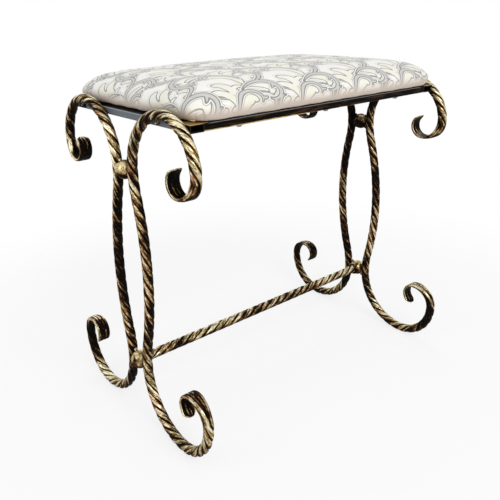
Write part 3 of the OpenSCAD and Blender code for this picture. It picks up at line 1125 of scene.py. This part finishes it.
@dataclass
class EndFrames:
    """The two end frames: four scroll bars, four balls, the stretcher between them, and their welds."""

    path: BendPath = field(default_factory=BendPath)
    end_x: float = 235 * MM
    groove_depth: float = 1.5 * MM
    twist_pitch: float = 72 * MM
    flat_l: float = 92 * MM
    flare_l: float = 42 * MM
    flat_w: float = 19.5 * MM
    flat_t: float = 4.6 * MM
    ring_step: float = 1.6 * MM
    points_around: int = 48
    bar_points: int = 240
    ring_points: int = 48
    bead_r: float = 2 * MM
    rail_bead_r: float = 2.5 * MM
    bead_spread: float = 1.15
    ring_bead_r: float = 1.3 * MM
    corner_bead_r: float = 2 * MM
    corner_bead_half: float = 3.5 * MM
    rail_x: float = 227.7 * MM
    rail_z: float = 441.5 * MM
    tube_w: float = 20 * MM
    frame_half_w: float = 145 * MM

    def build(self, iron: Material, gilt: Material, weld: Material) -> None:
        """Builds every piece of the end frames.

        Args:
            iron: The finish of the twisted bars.
            gilt: The finish of the balls.
            weld: The finish of the weld beads.
        """
        bar_inputs = {
            "Across": (1.0, 0.0, 0.0), "Side": 1.0, "Turns": 1.0, "Radius": 7 * MM, "Groove depth": 1.5 * MM,
            "Flat length": 0.09, "Flare length": 0.04, "Flat width": 0.019, "Flat thickness": 0.0044,
            "Flatness": 1.0, "Ridges": 4.0, "Ridge depth": 0.5 * MM, "Tip length": 7 * MM, "Tip share": 0.45,
            "End bulge": 0.6 * MM, "Dents": 0.10, "Rings": 500, "Points around": 48, "Seed": 0.0,
        }
        lump_inputs = {"Radius": 13 * MM, "Fineness": 5, "Dent scale": 90.0, "Dent depth": 0.8 * MM, "Seed": 0}
        run_inputs = {"Radius": 2 * MM, "Ripple": 0.3 * MM, "Seed": 0.0}
        bars = GrowthTree("twisted_bar", bar_inputs, draw_twisted_bar)
        lumps = GrowthTree("forged_lumps", lump_inputs, draw_forged_lumps)
        runs = GrowthTree("weld_bead_run", run_inputs, draw_bead_run)
        for end in End:
            for side in Side:
                self.scroll_bar(bars, iron, end, side)
            for level in Level:
                self.ball(lumps, gilt, end, level)
        self.stretcher(bars, iron)
        self.ball_beads(lumps, weld)
        self.rail_beads(lumps, weld)
        self.stretcher_rings(runs, weld)
        self.corner_beads(runs, weld)

    def scroll_bar(self, tree: GrowthTree, iron: Material, end: End, side: Side) -> None:
        """Bends and twists one scroll bar.

        Args:
            tree: Grows a twisted bar along a line.
            iron: The bar's finish.
            end: The end of the seat that it stands at.
            side: The long side that it bows to.
        """
        half = self.path.half_line()
        whole = np.vstack([half[:0:-1] * (1, -1), half])
        line = polyline([(end.value * self.end_x, side.value * u, self.path.waist_z + h) for u, h in whole])
        twisted = self.path.length / 2 - self.flat_l
        quarter_turns = round(4 * twisted / self.twist_pitch)
        name = f"scroll_bar_{side.name}_{end.name}".lower()
        piece = tree.grow(
            name + "_forged",
            line,
            iron,
            Across=(1.0, 0.0, 0.0),
            Side=float(side.value),
            Turns=side.value * quarter_turns / 4,
            Radius=self.path.bar_r,
            Groove_depth=self.groove_depth,
            Flat_length=self.flat_l,
            Flare_length=self.flare_l,
            Flat_width=self.flat_w,
            Flat_thickness=self.flat_t,
            Rings=round(self.path.length / self.ring_step),
            Points_around=self.points_around,
            Seed=float(3 * end.value + side.value),
        )
        self.flatten_foot(piece.data)
        settle(piece, [name])

    @staticmethod
    def flatten_foot(mesh: Mesh) -> None:
        """Grinds the ground flat: no point of the bar lies below the floor."""
        for vertex in mesh.vertices:
            vertex.co.z = max(vertex.co.z, 0.0)

    def stretcher(self, tree: GrowthTree, iron: Material) -> None:
        """Twists the stretcher between the lower balls.

        Args:
            tree: Grows a twisted bar along a line.
            iron: The bar's finish.
        """
        half = self.end_x - self.path.ball_r - self.path.gap
        z = self.path.waist_z - self.path.ball_h
        piece = tree.grow(
            "stretcher_bar_forged",
            polyline([(x, 0.0, z) for x in np.linspace(-half, half, self.bar_points)]),
            iron,
            Across=(0.0, 1.0, 0.0),
            Side=-1.0,
            Turns=-half / self.twist_pitch,
            Radius=self.path.bar_r,
            Groove_depth=self.groove_depth,
            Flat_length=0.0,
            Flatness=0.0,
            End_bulge=0.0,
            Rings=round(2 * half / self.ring_step),
            Points_around=self.points_around,
            Seed=9.0,
        )
        settle(piece, ["stretcher_bar"])

    def ball(self, tree: GrowthTree, gilt: Material, end: End, level: Level) -> None:
        """Forges one ball.

        Args:
            tree: Grows hammered lumps on points.
            gilt: The ball's finish.
            end: The end frame that it is in.
            level: Whether it is the upper or the lower ball.
        """
        name = f"{level.name}_ball_{end.name}".lower()
        piece = tree.grow(
            name + "_forged",
            polyline([(end.value * self.end_x, 0.0, self.path.waist_z + level.value * self.path.ball_h)]),
            gilt,
            Radius=self.path.ball_r,
            Fineness=6,
            Dent_scale=85.0,
            Dent_depth=0.9 * MM,
            Seed=5 + end.value + 3 * level.value,
        )
        settle(piece, [name])

    def ball_beads(self, tree: GrowthTree, weld: Material) -> None:
        """Lays the weld beads between the balls and the bars, above and below each neck.

        Args:
            tree: Grows hammered lumps on points.
            weld: The beads' finish.
        """
        path = self.path
        ball_reach = path.ball_r + self.bead_r + path.gap
        neck_reach = path.neck_r + path.bar_r + self.bead_r + path.gap
        centre_u = path.neck_u + path.neck_r
        bead_u = (ball_reach**2 - neck_reach**2 + centre_u**2) / (2 * centre_u)
        rise = math.sqrt(ball_reach**2 - bead_u**2)
        spots = [
            (end * self.end_x, side * bead_u, path.waist_z + way * path.ball_h + above * rise)
            for end in SIGNS for side in SIGNS for way in SIGNS for above in SIGNS
        ]
        size = {"Radius": self.bead_r * self.bead_spread, "Fineness": 4, "Dent_scale": 420.0, "Dent_depth": 1.0 * MM}
        piece = tree.grow("ball_weld_beads", polyline(spots), weld, **size, Seed=2)
        settle(piece, ["ball_welds"])

    def rail_beads(self, tree: GrowthTree, weld: Material) -> None:
        """Lays the beads under the bars, where they cross the short rails.

        Args:
            tree: Grows hammered lumps on points.
            weld: The beads' finish.
        """
        path, r = self.path, self.rail_bead_r
        x = self.rail_x + r + path.gap / 2
        drop = math.sqrt((path.bar_r + r + path.gap) ** 2 - (self.end_x - x) ** 2)
        half = path.half_line()
        crest_u, crest_h = half[half[:, 1].argmax()]
        crest_z = path.waist_z + crest_h
        spots = []
        for radius, way in ((path.shoulder_r, -1), (path.crest_r, 1)):
            lean = math.acos((self.rail_z - crest_z + radius) / (radius - drop))
            u = crest_u + way * (radius - drop) * math.sin(lean)
            spots += [(end * x, side * u, self.rail_z) for end in SIGNS for side in SIGNS]
        size = {"Radius": r * self.bead_spread, "Fineness": 4, "Dent_scale": 380.0, "Dent_depth": 1.1 * MM}
        piece = tree.grow("rail_weld_beads", polyline(spots), weld, **size, Seed=4)
        settle(piece, ["bar_to_rail_welds"])

    def stretcher_rings(self, tree: GrowthTree, weld: Material) -> None:
        """Runs a bead round each end of the stretcher.

        Args:
            tree: Grows a bead of weld along lines.
            weld: The beads' finish.
        """
        path, r = self.path, self.ring_bead_r
        x = path.ball_r - r
        ring_r = math.sqrt((path.ball_r + r + path.gap) ** 2 - x**2)
        z = path.waist_z - path.ball_h
        angles = np.linspace(0, FULL, self.ring_points, endpoint=False)
        ring = [(ring_r * math.cos(a), z + ring_r * math.sin(a)) for a in angles]
        rings = [polyline([(end * (self.end_x - x), u, h) for u, h in ring], closed=True) for end in SIGNS]
        piece = tree.grow("stretcher_weld_rings", join_lines(rings), weld, Radius=r, Ripple=0.35 * MM, Seed=3.0)
        settle(piece, ["stretcher_welds"])

    def corner_beads(self, tree: GrowthTree, weld: Material) -> None:
        """Runs a bead up each inner corner of the seat frame.

        Args:
            tree: Grows a bead of weld along lines.
            weld: The beads' finish.
        """
        inset = self.tube_w + self.corner_bead_r + self.path.gap / 2
        x, y = self.rail_x - inset, self.frame_half_w - inset
        heights = self.rail_z + np.linspace(-self.corner_bead_half, self.corner_bead_half, 15)
        lines = [polyline([(end * x, side * y, z) for z in heights]) for end in SIGNS for side in SIGNS]
        size = {"Radius": self.corner_bead_r, "Ripple": 0.4 * MM}
        piece = tree.grow("corner_weld_beads", join_lines(lines), weld, **size, Seed=8.0)
        settle(piece, ["frame_corner_welds"])


# ---------------------------------------------------------------------------------------- seat


@dataclass
class Cushion:
    """The padded seat: a cloth-covered foam pad, puffed by a cloth simulation.

    Heights that end in _h, held_below and cut_above are measured from its underside, low_z.
    """

    half_l: float = 226 * MM
    half_w: float = 157 * MM
    corner_r: float = 28 * MM
    low_z: float = 447.1 * MM
    edge_h: float = 38 * MM
    edge_round: float = 62 * MM
    crown_h: float = 7.5 * MM
    draw_in: float = 13 * MM
    widest_h: float = 12 * MM
    corner_steps: int = 8
    side_steps: int = 12
    under_steps: int = 4
    edge_steps: int = 12
    voxel: float = 5 * MM
    start_inset: float = 2.0 * MM
    cap: float = 2.4 * MM
    held_below: float = 2 * MM
    cut_above: float = 1.5 * MM
    pucker: float = 1.1 * MM
    fold_rate: float = 9.0
    fold_drift: float = 5.0
    pull: float = 0.5 * MM
    pull_drift: float = 31.0
    staple_step: float = 38 * MM
    frames: int = 20
    pressure: float = 4.0
    relax_rounds: int = 6

    def ring(self, inset: float, height: float, keep: float = 1.0) -> list[Spot]:
        """Gives one level outline of the pad.

        Args:
            inset: How far it lies inside the widest outline.
            height: Its height above the underside.
            keep: How much of the outline's size it keeps.

        Returns:
            The ring's points.
        """
        a, b = self.half_l - inset, self.half_w - inset
        r = max(self.corner_r - 0.3 * inset, MM)
        rows = []
        for cx, cy, start in ((1, 1, 0.0), (-1, 1, QUARTER), (-1, -1, 2 * QUARTER), (1, -1, 3 * QUARTER)):
            for k in range(self.corner_steps + 1):
                t = start + QUARTER * k / self.corner_steps
                rows.append((cx * (a - r) + r * math.cos(t), cy * (b - r) + r * math.sin(t)))
            for k in range(1, self.side_steps):
                share = 1 - 2 * k / self.side_steps
                rows.append((cx * share * (a - r), cy * b) if cx == cy else (cx * a, cy * share * (b - r)))
        outline = [(x * keep, y * keep) for x, y in rows]
        crowned = height > self.widest_h
        return [(x, y, self.low_z + height + (self.crown(x, y) if crowned else 0.0)) for x, y in outline]

    def crown(self, x: float, y: float) -> float:
        """Gives the height that the crown adds over a point of the seat."""
        return self.crown_h * max(1 - (x / self.half_l) ** 2, 0) * max(1 - (y / self.half_w) ** 2, 0)

    def start_shape(self) -> Mesh:
        """Lofts the closed pad that the simulation starts from.

        Returns:
            The pad's mesh.
        """
        d = self.start_inset
        rings = [self.ring(self.draw_in, 0.0, keep) for keep in (0.3, 0.65)]
        for k in range(self.under_steps + 1):
            a = QUARTER * (1 - k / self.under_steps)
            rings.append(self.ring(self.draw_in - (self.draw_in - d) * math.cos(a), self.widest_h * (1 - math.sin(a))))
        for i in range(1, self.edge_steps + 1):
            a = QUARTER * i / self.edge_steps
            inset = d + (self.edge_round - d) * (1 - math.cos(a))
            rings.append(self.ring(inset, self.widest_h + (self.edge_h - d - self.widest_h) * math.sin(a)))
        rings += [self.ring(self.edge_round, self.edge_h - d, keep) for keep in (0.8, 0.6, 0.4, 0.2)]
        n, last = len(rings[0]), len(rings) - 1
        faces = [
            (i * n + j, i * n + (j + 1) % n, (i + 1) * n + (j + 1) % n, (i + 1) * n + j)
            for i in range(last) for j in range(n)
        ]
        faces += [tuple(range(n - 1, -1, -1)), tuple(range(last * n, (last + 1) * n))]
        return new_mesh("pad", [p for ring in rings for p in ring], faces)

    def build(self, cloth: Material) -> None:
        """Args:
            cloth: The finish of the cover.
        """
        piece = new_piece("seat_cushion", self.start_shape(), cloth)
        apply(piece, "REMESH", mode="VOXEL", voxel_size=self.voxel, use_smooth_shade=True)
        self.puff(piece)
        apply(piece, "SUBSURF", levels=1, render_levels=1)
        self.refine(piece.data)
        self.gather(piece.data)
        piece.data.shade_smooth()
        self.mark_cloth(piece.data)
        settle(piece, ["seat_cover", "foam_pad"])

    def puff(self, piece: Piece) -> None:
        """Inflates the pad as cloth, holds its underside to the board, and caps how far a point moves.

        Args:
            piece: The remeshed pad.
        """
        before = read_points(piece.data)
        held = piece.vertex_groups.new(name="held")
        held.add([i for i, p in enumerate(before) if p[2] < self.low_z + self.held_below], 1.0, "REPLACE")
        modifier = piece.modifiers.new("cloth", "CLOTH")
        for name, value in (
            ("quality", 6), ("mass", 0.3), ("tension_stiffness", 15.0), ("compression_stiffness", 15.0),
            ("shear_stiffness", 8.0), ("bending_stiffness", 0.6), ("use_pressure", True),
            ("uniform_pressure_force", self.pressure), ("vertex_group_mass", "held"),
        ):
            setattr(modifier.settings, name, value)
        modifier.settings.effector_weights.gravity = 0.0
        scene = bpy.context.scene
        scene.frame_start, scene.frame_end = 1, self.frames
        modifier.point_cache.frame_start, modifier.point_cache.frame_end = 1, self.frames
        for number in range(1, self.frames + 1):
            scene.frame_set(number)
        graph = bpy.context.evaluated_depsgraph_get()
        after = read_points(piece.evaluated_get(graph).data)
        piece.modifiers.remove(modifier)
        piece.vertex_groups.clear()
        scene.frame_set(1)
        normals = read_normals(piece.data)
        swell = np.einsum("ij,ij->i", after - before, normals)
        least, most, mean = (value / MM for value in (swell.min(), swell.max(), swell.mean()))
        log.info("cushion swells by %.1f to %.1f mm, %.1f on average", least, most, mean)
        swell = relax(piece.data, np.clip(swell, 0.0, self.cap), self.relax_rounds)
        write_points(piece.data, before + normals * swell[:, None])

    def refine(self, mesh: Mesh) -> None:
        """Cuts the faces above the underside finer, for the pattern.

        Args:
            mesh: The cushion's mesh.
        """
        work = bmesh.new()
        work.from_mesh(mesh)
        edges = [e for e in work.edges if max(v.co.z for v in e.verts) > self.low_z + self.cut_above]
        bmesh.ops.subdivide_edges(work, edges=edges, cuts=1, use_grid_fill=True)
        work.to_mesh(mesh)
        work.free()

    def gather(self, mesh: Mesh) -> None:
        """Gathers the cloth into small folds at the corners, and pulls it in at each staple under the edge.

        Args:
            mesh: The cushion's mesh.
        """
        points, normals = read_points(mesh), read_normals(mesh)
        rise = points[:, 2] - self.low_z
        low = (1 - np.clip(rise / (1.6 * self.widest_h), 0, 1)) ** 1.5 * np.clip(rise / (2 * MM), 0, 1)
        out = np.abs(points[:, :2]) - (self.half_l - self.corner_r, self.half_w - self.corner_r)
        turn = np.arctan2(np.maximum(out[:, 1], 0), np.maximum(out[:, 0], 0))
        round_corner = np.clip(1 - np.abs(turn - QUARTER / 2) / (QUARTER / 2), 0, 1) ** 0.6
        which_corner = np.sign(points[:, 0] * points[:, 1])
        folds = np.abs(np.sin(turn * self.fold_rate + which_corner + 0.6 * np.sin(turn * self.fold_drift))) ** 0.7
        along = np.where(out[:, 0] > out[:, 1], points[:, 1], points[:, 0])
        straight = np.clip(1 - round_corner * 2, 0, 1)
        waves = np.sin(along / self.staple_step * FULL + 0.8 * np.sin(along * self.pull_drift))
        shift = -self.pucker * round_corner * (1 - folds) * low * 1.6 + self.pull * straight * waves * low
        write_points(mesh, points + normals * shift[:, None])

    def round_the_edge(self, reach: np.ndarray, drop: np.ndarray) -> np.ndarray:
        """Measures the cloth's length over the rounded edge.

        Args:
            reach: How far each point lies outside the flat top.
            drop: How far it lies below the top.

        Returns:
            The length from the flat top to each point.
        """
        turn = np.linspace(0, QUARTER, 40)
        roll = self.edge_h - self.widest_h
        over = np.column_stack([self.edge_round * np.sin(turn), roll * (1 - np.cos(turn))])
        under = np.column_stack([self.draw_in * np.cos(turn), self.widest_h * np.sin(turn)])
        lengths = [np.append(0, np.linalg.norm(np.diff(line, axis=0), axis=1).cumsum()) for line in (over, under)]
        outward = np.interp(np.arctan2(reach / self.edge_round, np.maximum(1 - drop / roll, 0)), turn, lengths[0])
        inward = np.interp(np.arcsin(np.clip((drop - roll) / self.widest_h, 0, 1)), turn, lengths[1])
        return outward + inward

    def mark_cloth(self, mesh: Mesh) -> None:
        """Stores where each point lies on the cloth, and how far it is from the pattern's edges.

        Args:
            mesh: The cushion's mesh.
        """
        points = read_points(mesh)
        inner = np.array([self.half_l - self.edge_round, self.half_w - self.edge_round])
        flat = np.clip(points[:, :2], -inner, inner)
        out = points[:, :2] - flat
        reach = np.linalg.norm(out, axis=1)
        way = out / np.maximum(reach, 1e-9)[:, None]
        drop = np.maximum(self.low_z + self.edge_h - points[:, 2], 0.0)
        cloth = flat + way * self.round_the_edge(reach, drop)[:, None]
        grey, leaf = ScrollPattern().edges(cloth / MM)
        mark_points(mesh, "cloth", np.column_stack([cloth, np.zeros(len(cloth))]))
        mark_points(mesh, "grey_edge", grey)
        mark_points(mesh, "leaf_edge", leaf)


@dataclass(frozen=True)
class ScrollPattern:
    """The woven pattern: a wavy stem with hooked branches and lobed leaves, mirrored at half the repeat.

    It is drawn in millimetres and degrees, and laid on the flat cloth at a share of its size.
    """

    width: float = 112.0
    repeat: float = 150.0
    sway: float = 20.0
    share: float = 0.9
    origin: tuple[float, float] = (-4.0, 8.0)
    thinnest: float = 0.4
    stem_half: float = 1.7
    farthest: float = 40.0

    def swell(self, share: np.ndarray, halves: Sequence[float]) -> np.ndarray:
        """Gives a stroke's half width along it.

        Args:
            share: How far along the stroke each point is.
            halves: The half widths at the start, the middle and the end.

        Returns:
            The half width at each point.
        """
        first, middle, last = halves
        bow = first * (1 - share) * (1 - 2 * share) + 4 * middle * share * (1 - share) + last * share * (2 * share - 1)
        return np.maximum(bow, self.thinnest)

    def off(
        self, path: np.ndarray, share: float, way: int, lean: float, length: float,
        bend: Sequence[float], halves: Sequence[float],
    ) -> np.ndarray:
        """Draws a stroke that leaves another, with a bend that changes evenly.

        Args:
            path: The stroke that it leaves.
            share: How far along it the new one starts.
            way: 1 for the left of the stroke, -1 for its right.
            lean: The first angle between them.
            length: The new stroke's length.
            bend: Its bend at the start and at the end, in degrees per millimetre.
            halves: Its half widths at the start, the middle and the end.

        Returns:
            Rows of x, y, half width and heading.
        """
        x, y, _, heading = path[round(share * (len(path) - 1))]
        steps = max(round(length / 2), 8)
        along = np.linspace(0, 1, steps + 1)
        turned = length * (bend[0] * along + (bend[1] - bend[0]) * along**2 / 2)
        heading = np.radians(heading + way * (lean + turned))
        middle = (heading[:-1] + heading[1:]) / 2
        walk = np.column_stack([np.cos(middle), np.sin(middle)]).cumsum(axis=0) * length / steps
        return np.column_stack([np.vstack([[0, 0], walk]) + (x, y), self.swell(along, halves), np.degrees(heading)])

    def motif(self) -> tuple[list[np.ndarray], list[np.ndarray]]:
        """Draws half a repeat.

        Returns:
            The grey strokes and the leaves.
        """
        y = np.linspace(0, self.repeat / 2, 30)
        phase = FULL * y / self.repeat
        heading = np.degrees(np.arctan2(1, self.sway * FULL / self.repeat * np.cos(phase)))
        middle_x = self.width / 2 + self.sway * np.sin(phase)
        stem = np.column_stack([middle_x, y, np.full(len(y), self.stem_half), heading])
        hook = self.off(stem, 0.02, -1, 8, 112, (0.5, 4.0), (0.7, 3.9, 1.5))
        small = self.off(stem, 0.45, 1, 14, 84, (0.2, 4.6), (0.7, 3.6, 1.5))
        counter = self.off(hook, 0.3, 1, 24, 58, (-0.9, 6.2), (0.6, 3.1, 1.3))
        barbs = [
            self.off(hook, 0.93, 1, 70, 10, (2, 9), (1.8, 2.8, 1.2)),
            self.off(small, 0.92, -1, 70, 9, (2, 9), (1.6, 2.6, 1.2)),
            self.off(hook, 0.55, -1, 50, 13, (1, 8), (1.2, 2.6, 1.0)),
        ]
        leaves = [
            stem,
            self.off(hook, 0.42, 1, -24, 66, (-0.6, 2.6), (1.2, 1.5, 1.2)),
            self.off(small, 0.55, 1, 34, 46, (-1.4, 2.8), (1.2, 1.5, 1.0)),
        ]
        for path, share, way, lean, length, half in (
            (hook, 0.10, -1, 24, 46, 7.5), (hook, 0.36, -1, 40, 34, 6.5), (stem, 0.22, 1, 24, 48, 7.5),
            (small, 0.22, 1, 30, 34, 6.0), (small, 0.1, -1, 14, 54, 7.5), (stem, 0.75, -1, 22, 50, 8.0),
            (counter, 0.3, 1, 34, 26, 4.6),
        ):
            leaf = self.off(path, share, way, lean, length, (0.2, 190 / length), (0.8, half, 4.2))
            lobe = self.off(leaf, 0.40, -way, 44, length * 0.46, (-0.8, 8.5), (1.0, half * 0.55, 2.8))
            leaves += [leaf, lobe]
        return [hook, small, counter, *barbs], leaves

    def edges(self, cloth: np.ndarray) -> list[np.ndarray]:
        """Measures how far points lie from the pattern's edges.

        Args:
            cloth: Rows of x and y on the flat cloth.

        Returns:
            The distances to the grey strokes and to the leaves, negative inside.
        """
        size = np.array([self.width, self.repeat])
        spots = np.mod(cloth / self.share + np.array(self.origin), size)
        found = []
        for group in self.motif():
            best = np.full(len(spots), self.farthest)
            for path in group:
                mirrored = path * (-1, 1, 1, 1) + (self.width, self.repeat / 2, 0, 0)
                for line in (path, mirrored):
                    for i in (-1, 0, 1):
                        for j in (-1, 0, 1):
                            self.lay(best, spots, line[:, :3] + (i * self.width, j * self.repeat, 0))
            found.append(best * self.share)
        return found

    @staticmethod
    def lay(best: np.ndarray, spots: np.ndarray, line: np.ndarray, reach: float = 12.0) -> None:
        """Lowers the distances of the points near one stroke to their distance from its edge.

        Args:
            best: The distances so far, which are changed.
            spots: The points.
            line: The stroke, as rows of x, y and half width.
            reach: How far beyond the stroke's box a point may lie.
        """
        near = ((spots >= line[:, :2].min(0) - reach) & (spots <= line[:, :2].max(0) + reach)).all(1)
        if not near.any():
            return
        close, result = spots[near], best[near]
        for (ax, ay, aw), (bx, by, bw) in zip(line[:-1], line[1:]):
            dx, dy = bx - ax, by - ay
            t = np.clip(((close[:, 0] - ax) * dx + (close[:, 1] - ay) * dy) / (dx * dx + dy * dy), 0, 1)
            gap = np.hypot(close[:, 0] - ax - t * dx, close[:, 1] - ay - t * dy) - (aw + (bw - aw) * t)
            np.minimum(result, gap, out=result)
        best[near] = result


def draw_staples(g: Sketch, given: dict[str, Wire]) -> Wire:
    """Draws a staple on each point, its crown along the point's row and its legs going up.

    Args:
        g: The sketch of the tree.
        given: The tree's inputs.

    Returns:
        The staples' mesh.
    """
    half = given["Crown"] * 0.5
    back = half * -1.0
    corners = {
        "Point 1": g.join(0.0, back, given["Leg"]),
        "Point 2": g.join(0.0, back, 0.0),
        "Point 3": g.join(0.0, half, 0.0),
        "Point 4": g.join(0.0, half, given["Leg"]),
    }
    outline = g.out("GeometryNodeCurvePrimitiveQuadrilateral", corners, mode="POINTS")
    wire = g.out("GeometryNodeCurvePrimitiveCircle", {"Resolution": 8, "Radius": given["Wire"]})
    rounded = g.out("GeometryNodeFilletCurve", {"Curve": outline, "Radius": 0.6 * MM, "Count": 3}, mode="POLY")
    staple = g.out("GeometryNodeCurveToMesh", {"Curve": rounded, "Profile Curve": wire})
    lean = g.out("FunctionNodeRandomValue", {2: -0.3, 3: 0.3, "Seed": given["Seed"]}, 1, data_type="FLOAT")
    placed = {"Points": given["Geometry"], "Instance": staple, "Rotation": g.join(0.0, 0.0, lean)}
    return g.out("GeometryNodeInstanceOnPoints", placed)


@dataclass
class Underside:
    """The lining under the board and the staples that hold it."""

    half_l: float = 207.7 * MM
    half_w: float = 138.7 * MM
    corner_r: float = 9.7 * MM
    low_z: float = 446.5 * MM
    thickness: float = 0.6 * MM
    sag: float = 1.6 * MM
    clear_half_l: float = 206 * MM
    clear_half_w: float = 123 * MM
    columns: int = 84
    rows: int = 56
    staple_step: float = 40 * MM
    staple_inset: float = 6 * MM
    staple_play: float = 0.25 * MM

    def build(self, lining: Material, zinc: Material) -> None:
        """Builds the lining and its staples.

        Args:
            lining: The finish of the lining.
            zinc: The finish of the staples.
        """
        nx, ny = self.columns, self.rows
        points = [self.spot(x, y) for y in np.linspace(-1, 1, ny + 1) for x in np.linspace(-1, 1, nx + 1)]
        corners = [j * (nx + 1) + i for j in range(ny) for i in range(nx)]
        faces = [(k, k + nx + 1, k + nx + 2, k + 1) for k in corners]
        piece = new_piece("seat_lining", new_mesh("lining", points, faces), lining)
        apply(piece, "SOLIDIFY", thickness=self.thickness, offset=-1.0)
        settle(piece, ["lining"])
        tree = GrowthTree("staples", {"Crown": 10 * MM, "Leg": 3 * MM, "Wire": 0.4 * MM, "Seed": 0}, draw_staples)
        x = self.half_l - self.staple_inset
        count = int(2 * self.clear_half_w / self.staple_step)
        across = [(k - (count - 1) / 2) * self.staple_step for k in range(count)]
        spots = [(end * x, y, self.low_z - self.droop(x, y) - self.staple_play) for end in SIGNS for y in across]
        settle(tree.grow("lining_staples", polyline(spots), zinc, Seed=6))

    def droop(self, x: float, y: float) -> float:
        """Gives how far the lining hangs down at a point, inside the frame's opening."""
        return self.sag * max(1 - (x / self.clear_half_l) ** 2, 0) * max(1 - (y / self.clear_half_w) ** 2, 0)

    def spot(self, u: float, v: float) -> Spot:
        """Maps a square of -1..1 to the rounded outline, with the sag.

        Args:
            u: The place along the lining.
            v: The place across it.

        Returns:
            The point.
        """
        x, y = u * self.half_l, v * self.half_w
        inner_x, inner_y = self.half_l - self.corner_r, self.half_w - self.corner_r
        over_x, over_y = abs(x) - inner_x, abs(y) - inner_y
        if over_x > 0 and over_y > 0:
            size = max(over_x, over_y) / math.hypot(over_x, over_y)
            x, y = math.copysign(inner_x + over_x * size, x), math.copysign(inner_y + over_y * size, y)
        return x, y, self.low_z - self.droop(x, y)


# ---------------------------------------------------------------------------------------- studio


@dataclass(frozen=True)
class Lamp:
    """One soft square lamp that looks at the bench."""

    name: str
    place: Spot
    power: float
    size: float
    aim: Spot = (0.0, 0.0, 0.3)

    def hang(self) -> None:
        """Hangs the lamp."""
        data = bpy.data.lights.new(self.name, "AREA")
        data.energy, data.size = self.power, self.size
        lamp = bpy.data.objects.new(self.name, data)
        bpy.context.scene.collection.objects.link(lamp)
        lamp.location = self.place
        lamp.rotation_euler = (Vector(self.aim) - Vector(self.place)).to_track_quat("-Z", "Y").to_euler()


@dataclass(frozen=True)
class Studio:
    """The floor, the lights and the camera."""

    eye: Spot = (-0.59807, -0.69537, 0.5710)
    yaw: float = math.radians(50.905)
    pitch: float = math.radians(15.81)
    roll: float = math.radians(1.533)
    lens: float = 43.74
    sensor: float = 36.0
    nearest: float = 0.02
    shift: tuple[float, float] = (0.0097, -0.14274)
    floor_half: float = 40.0
    sky_light: float = 0.5
    lamps: tuple[Lamp, ...] = (
        Lamp("key", (-0.3, -2.0, 1.8), 30.0, 1.2),
        Lamp("fill", (-2.2, 0.2, 1.3), 9.5, 1.4),
        Lamp("back", (1.2, 1.8, 1.9), 8.5, 1.4),
    )

    def camera(self) -> None:
        """Sets up the camera at the photograph's viewing angle."""
        level_share, fall = math.cos(self.pitch), math.sin(self.pitch)
        ahead = Vector((math.cos(self.yaw) * level_share, math.sin(self.yaw) * level_share, -fall))
        level = Vector((math.sin(self.yaw), -math.cos(self.yaw), 0.0))
        down = ahead.cross(level)
        right = level * math.cos(self.roll) + down * math.sin(self.roll)
        low = down * math.cos(self.roll) - level * math.sin(self.roll)
        data = bpy.data.cameras.new("camera")
        data.lens, data.sensor_width = self.lens, self.sensor
        data.shift_x, data.shift_y = self.shift
        data.clip_start = self.nearest
        camera = bpy.data.objects.new("camera", data)
        bpy.context.scene.collection.objects.link(camera)
        turn = Matrix((right, -low, -ahead)).transposed().to_4x4()
        camera.matrix_world = Matrix.Translation(self.eye) @ turn
        bpy.context.scene.camera = camera

    def floor(self) -> None:
        """Lays the pale floor."""
        far = self.floor_half
        mesh = new_mesh("floor", [(-far, -far, 0), (far, -far, 0), (far, far, 0), (-far, far, 0)], [(0, 1, 2, 3)])
        floor = new_piece("floor", mesh, PaleFloor().make())
        floor.data.shade_flat()

    def world(self) -> None:
        """Gives the world a plain white sky that lights more softly than it looks."""
        world = bpy.data.worlds.new("studio")
        world.use_nodes = True
        g = Sketch(world.node_tree)
        g.tree.nodes.clear()
        power = g.blend(g.seen(), self.sky_light, 1.0)
        sky = g.out("ShaderNodeBackground", {"Color": (1.0, 1.0, 1.0), "Strength": power})
        g.add("ShaderNodeOutputWorld", {0: sky})
        bpy.context.scene.world = world

    def build(self) -> None:
        """Sets the stage."""
        self.camera()
        self.world()
        self.floor()
        for lamp in self.lamps:
            lamp.hang()
        bpy.context.scene.view_settings.view_transform = "Standard"


def main() -> None:
    """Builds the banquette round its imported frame."""
    logging.basicConfig(level=logging.INFO, format="%(name)s: %(message)s")
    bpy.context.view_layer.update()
    Studio().build()
    iron = RubbedIronWithPaintedLight("rubbed_twist", brushed_along=True).make()
    even = {"painted_light_from_left": 0.0, "left_bars_differ": 0.0}
    gilt = RubbedIronWithPaintedLight("rubbed_ball", rub=0.13, far_end_painted_shade=0.18, highlight_gold=(0.72, 0.62, 0.36), **even).make()
    weld = RubbedIronWithPaintedLight("rubbed_weld", rub=0.2, far_end_painted_shade=0.34, **even).make()
    EndFrames().build(iron, gilt, weld)
    black_tube = TubePaint("black_tube", (0.004, 0.0035, 0.003)).make()
    # painted reflection: the short rails' grey-blue stands in for the pale sky reflected on their outer faces
    grey_tube = TubePaint("grey_tube", (0.13, 0.155, 0.18), low_rub=0.0, gloss=0.15).make()
    zinc = ZincSteel().make()
    for finish, nodes in (
        (black_tube, ("front_rail", "rear_rail")),
        (grey_tube, ("left_rail", "right_rail")),
        (PlyWood().make(), ("seat_board",)),
        (zinc, ("seat_screws", "screw_washers")),
    ):
        for node in nodes:
            dress(node, finish)
    Underside().build(FeltLining().make(), zinc)
    Cushion().build(PatternedCloth().make())


if __name__ == "__main__":
    main()
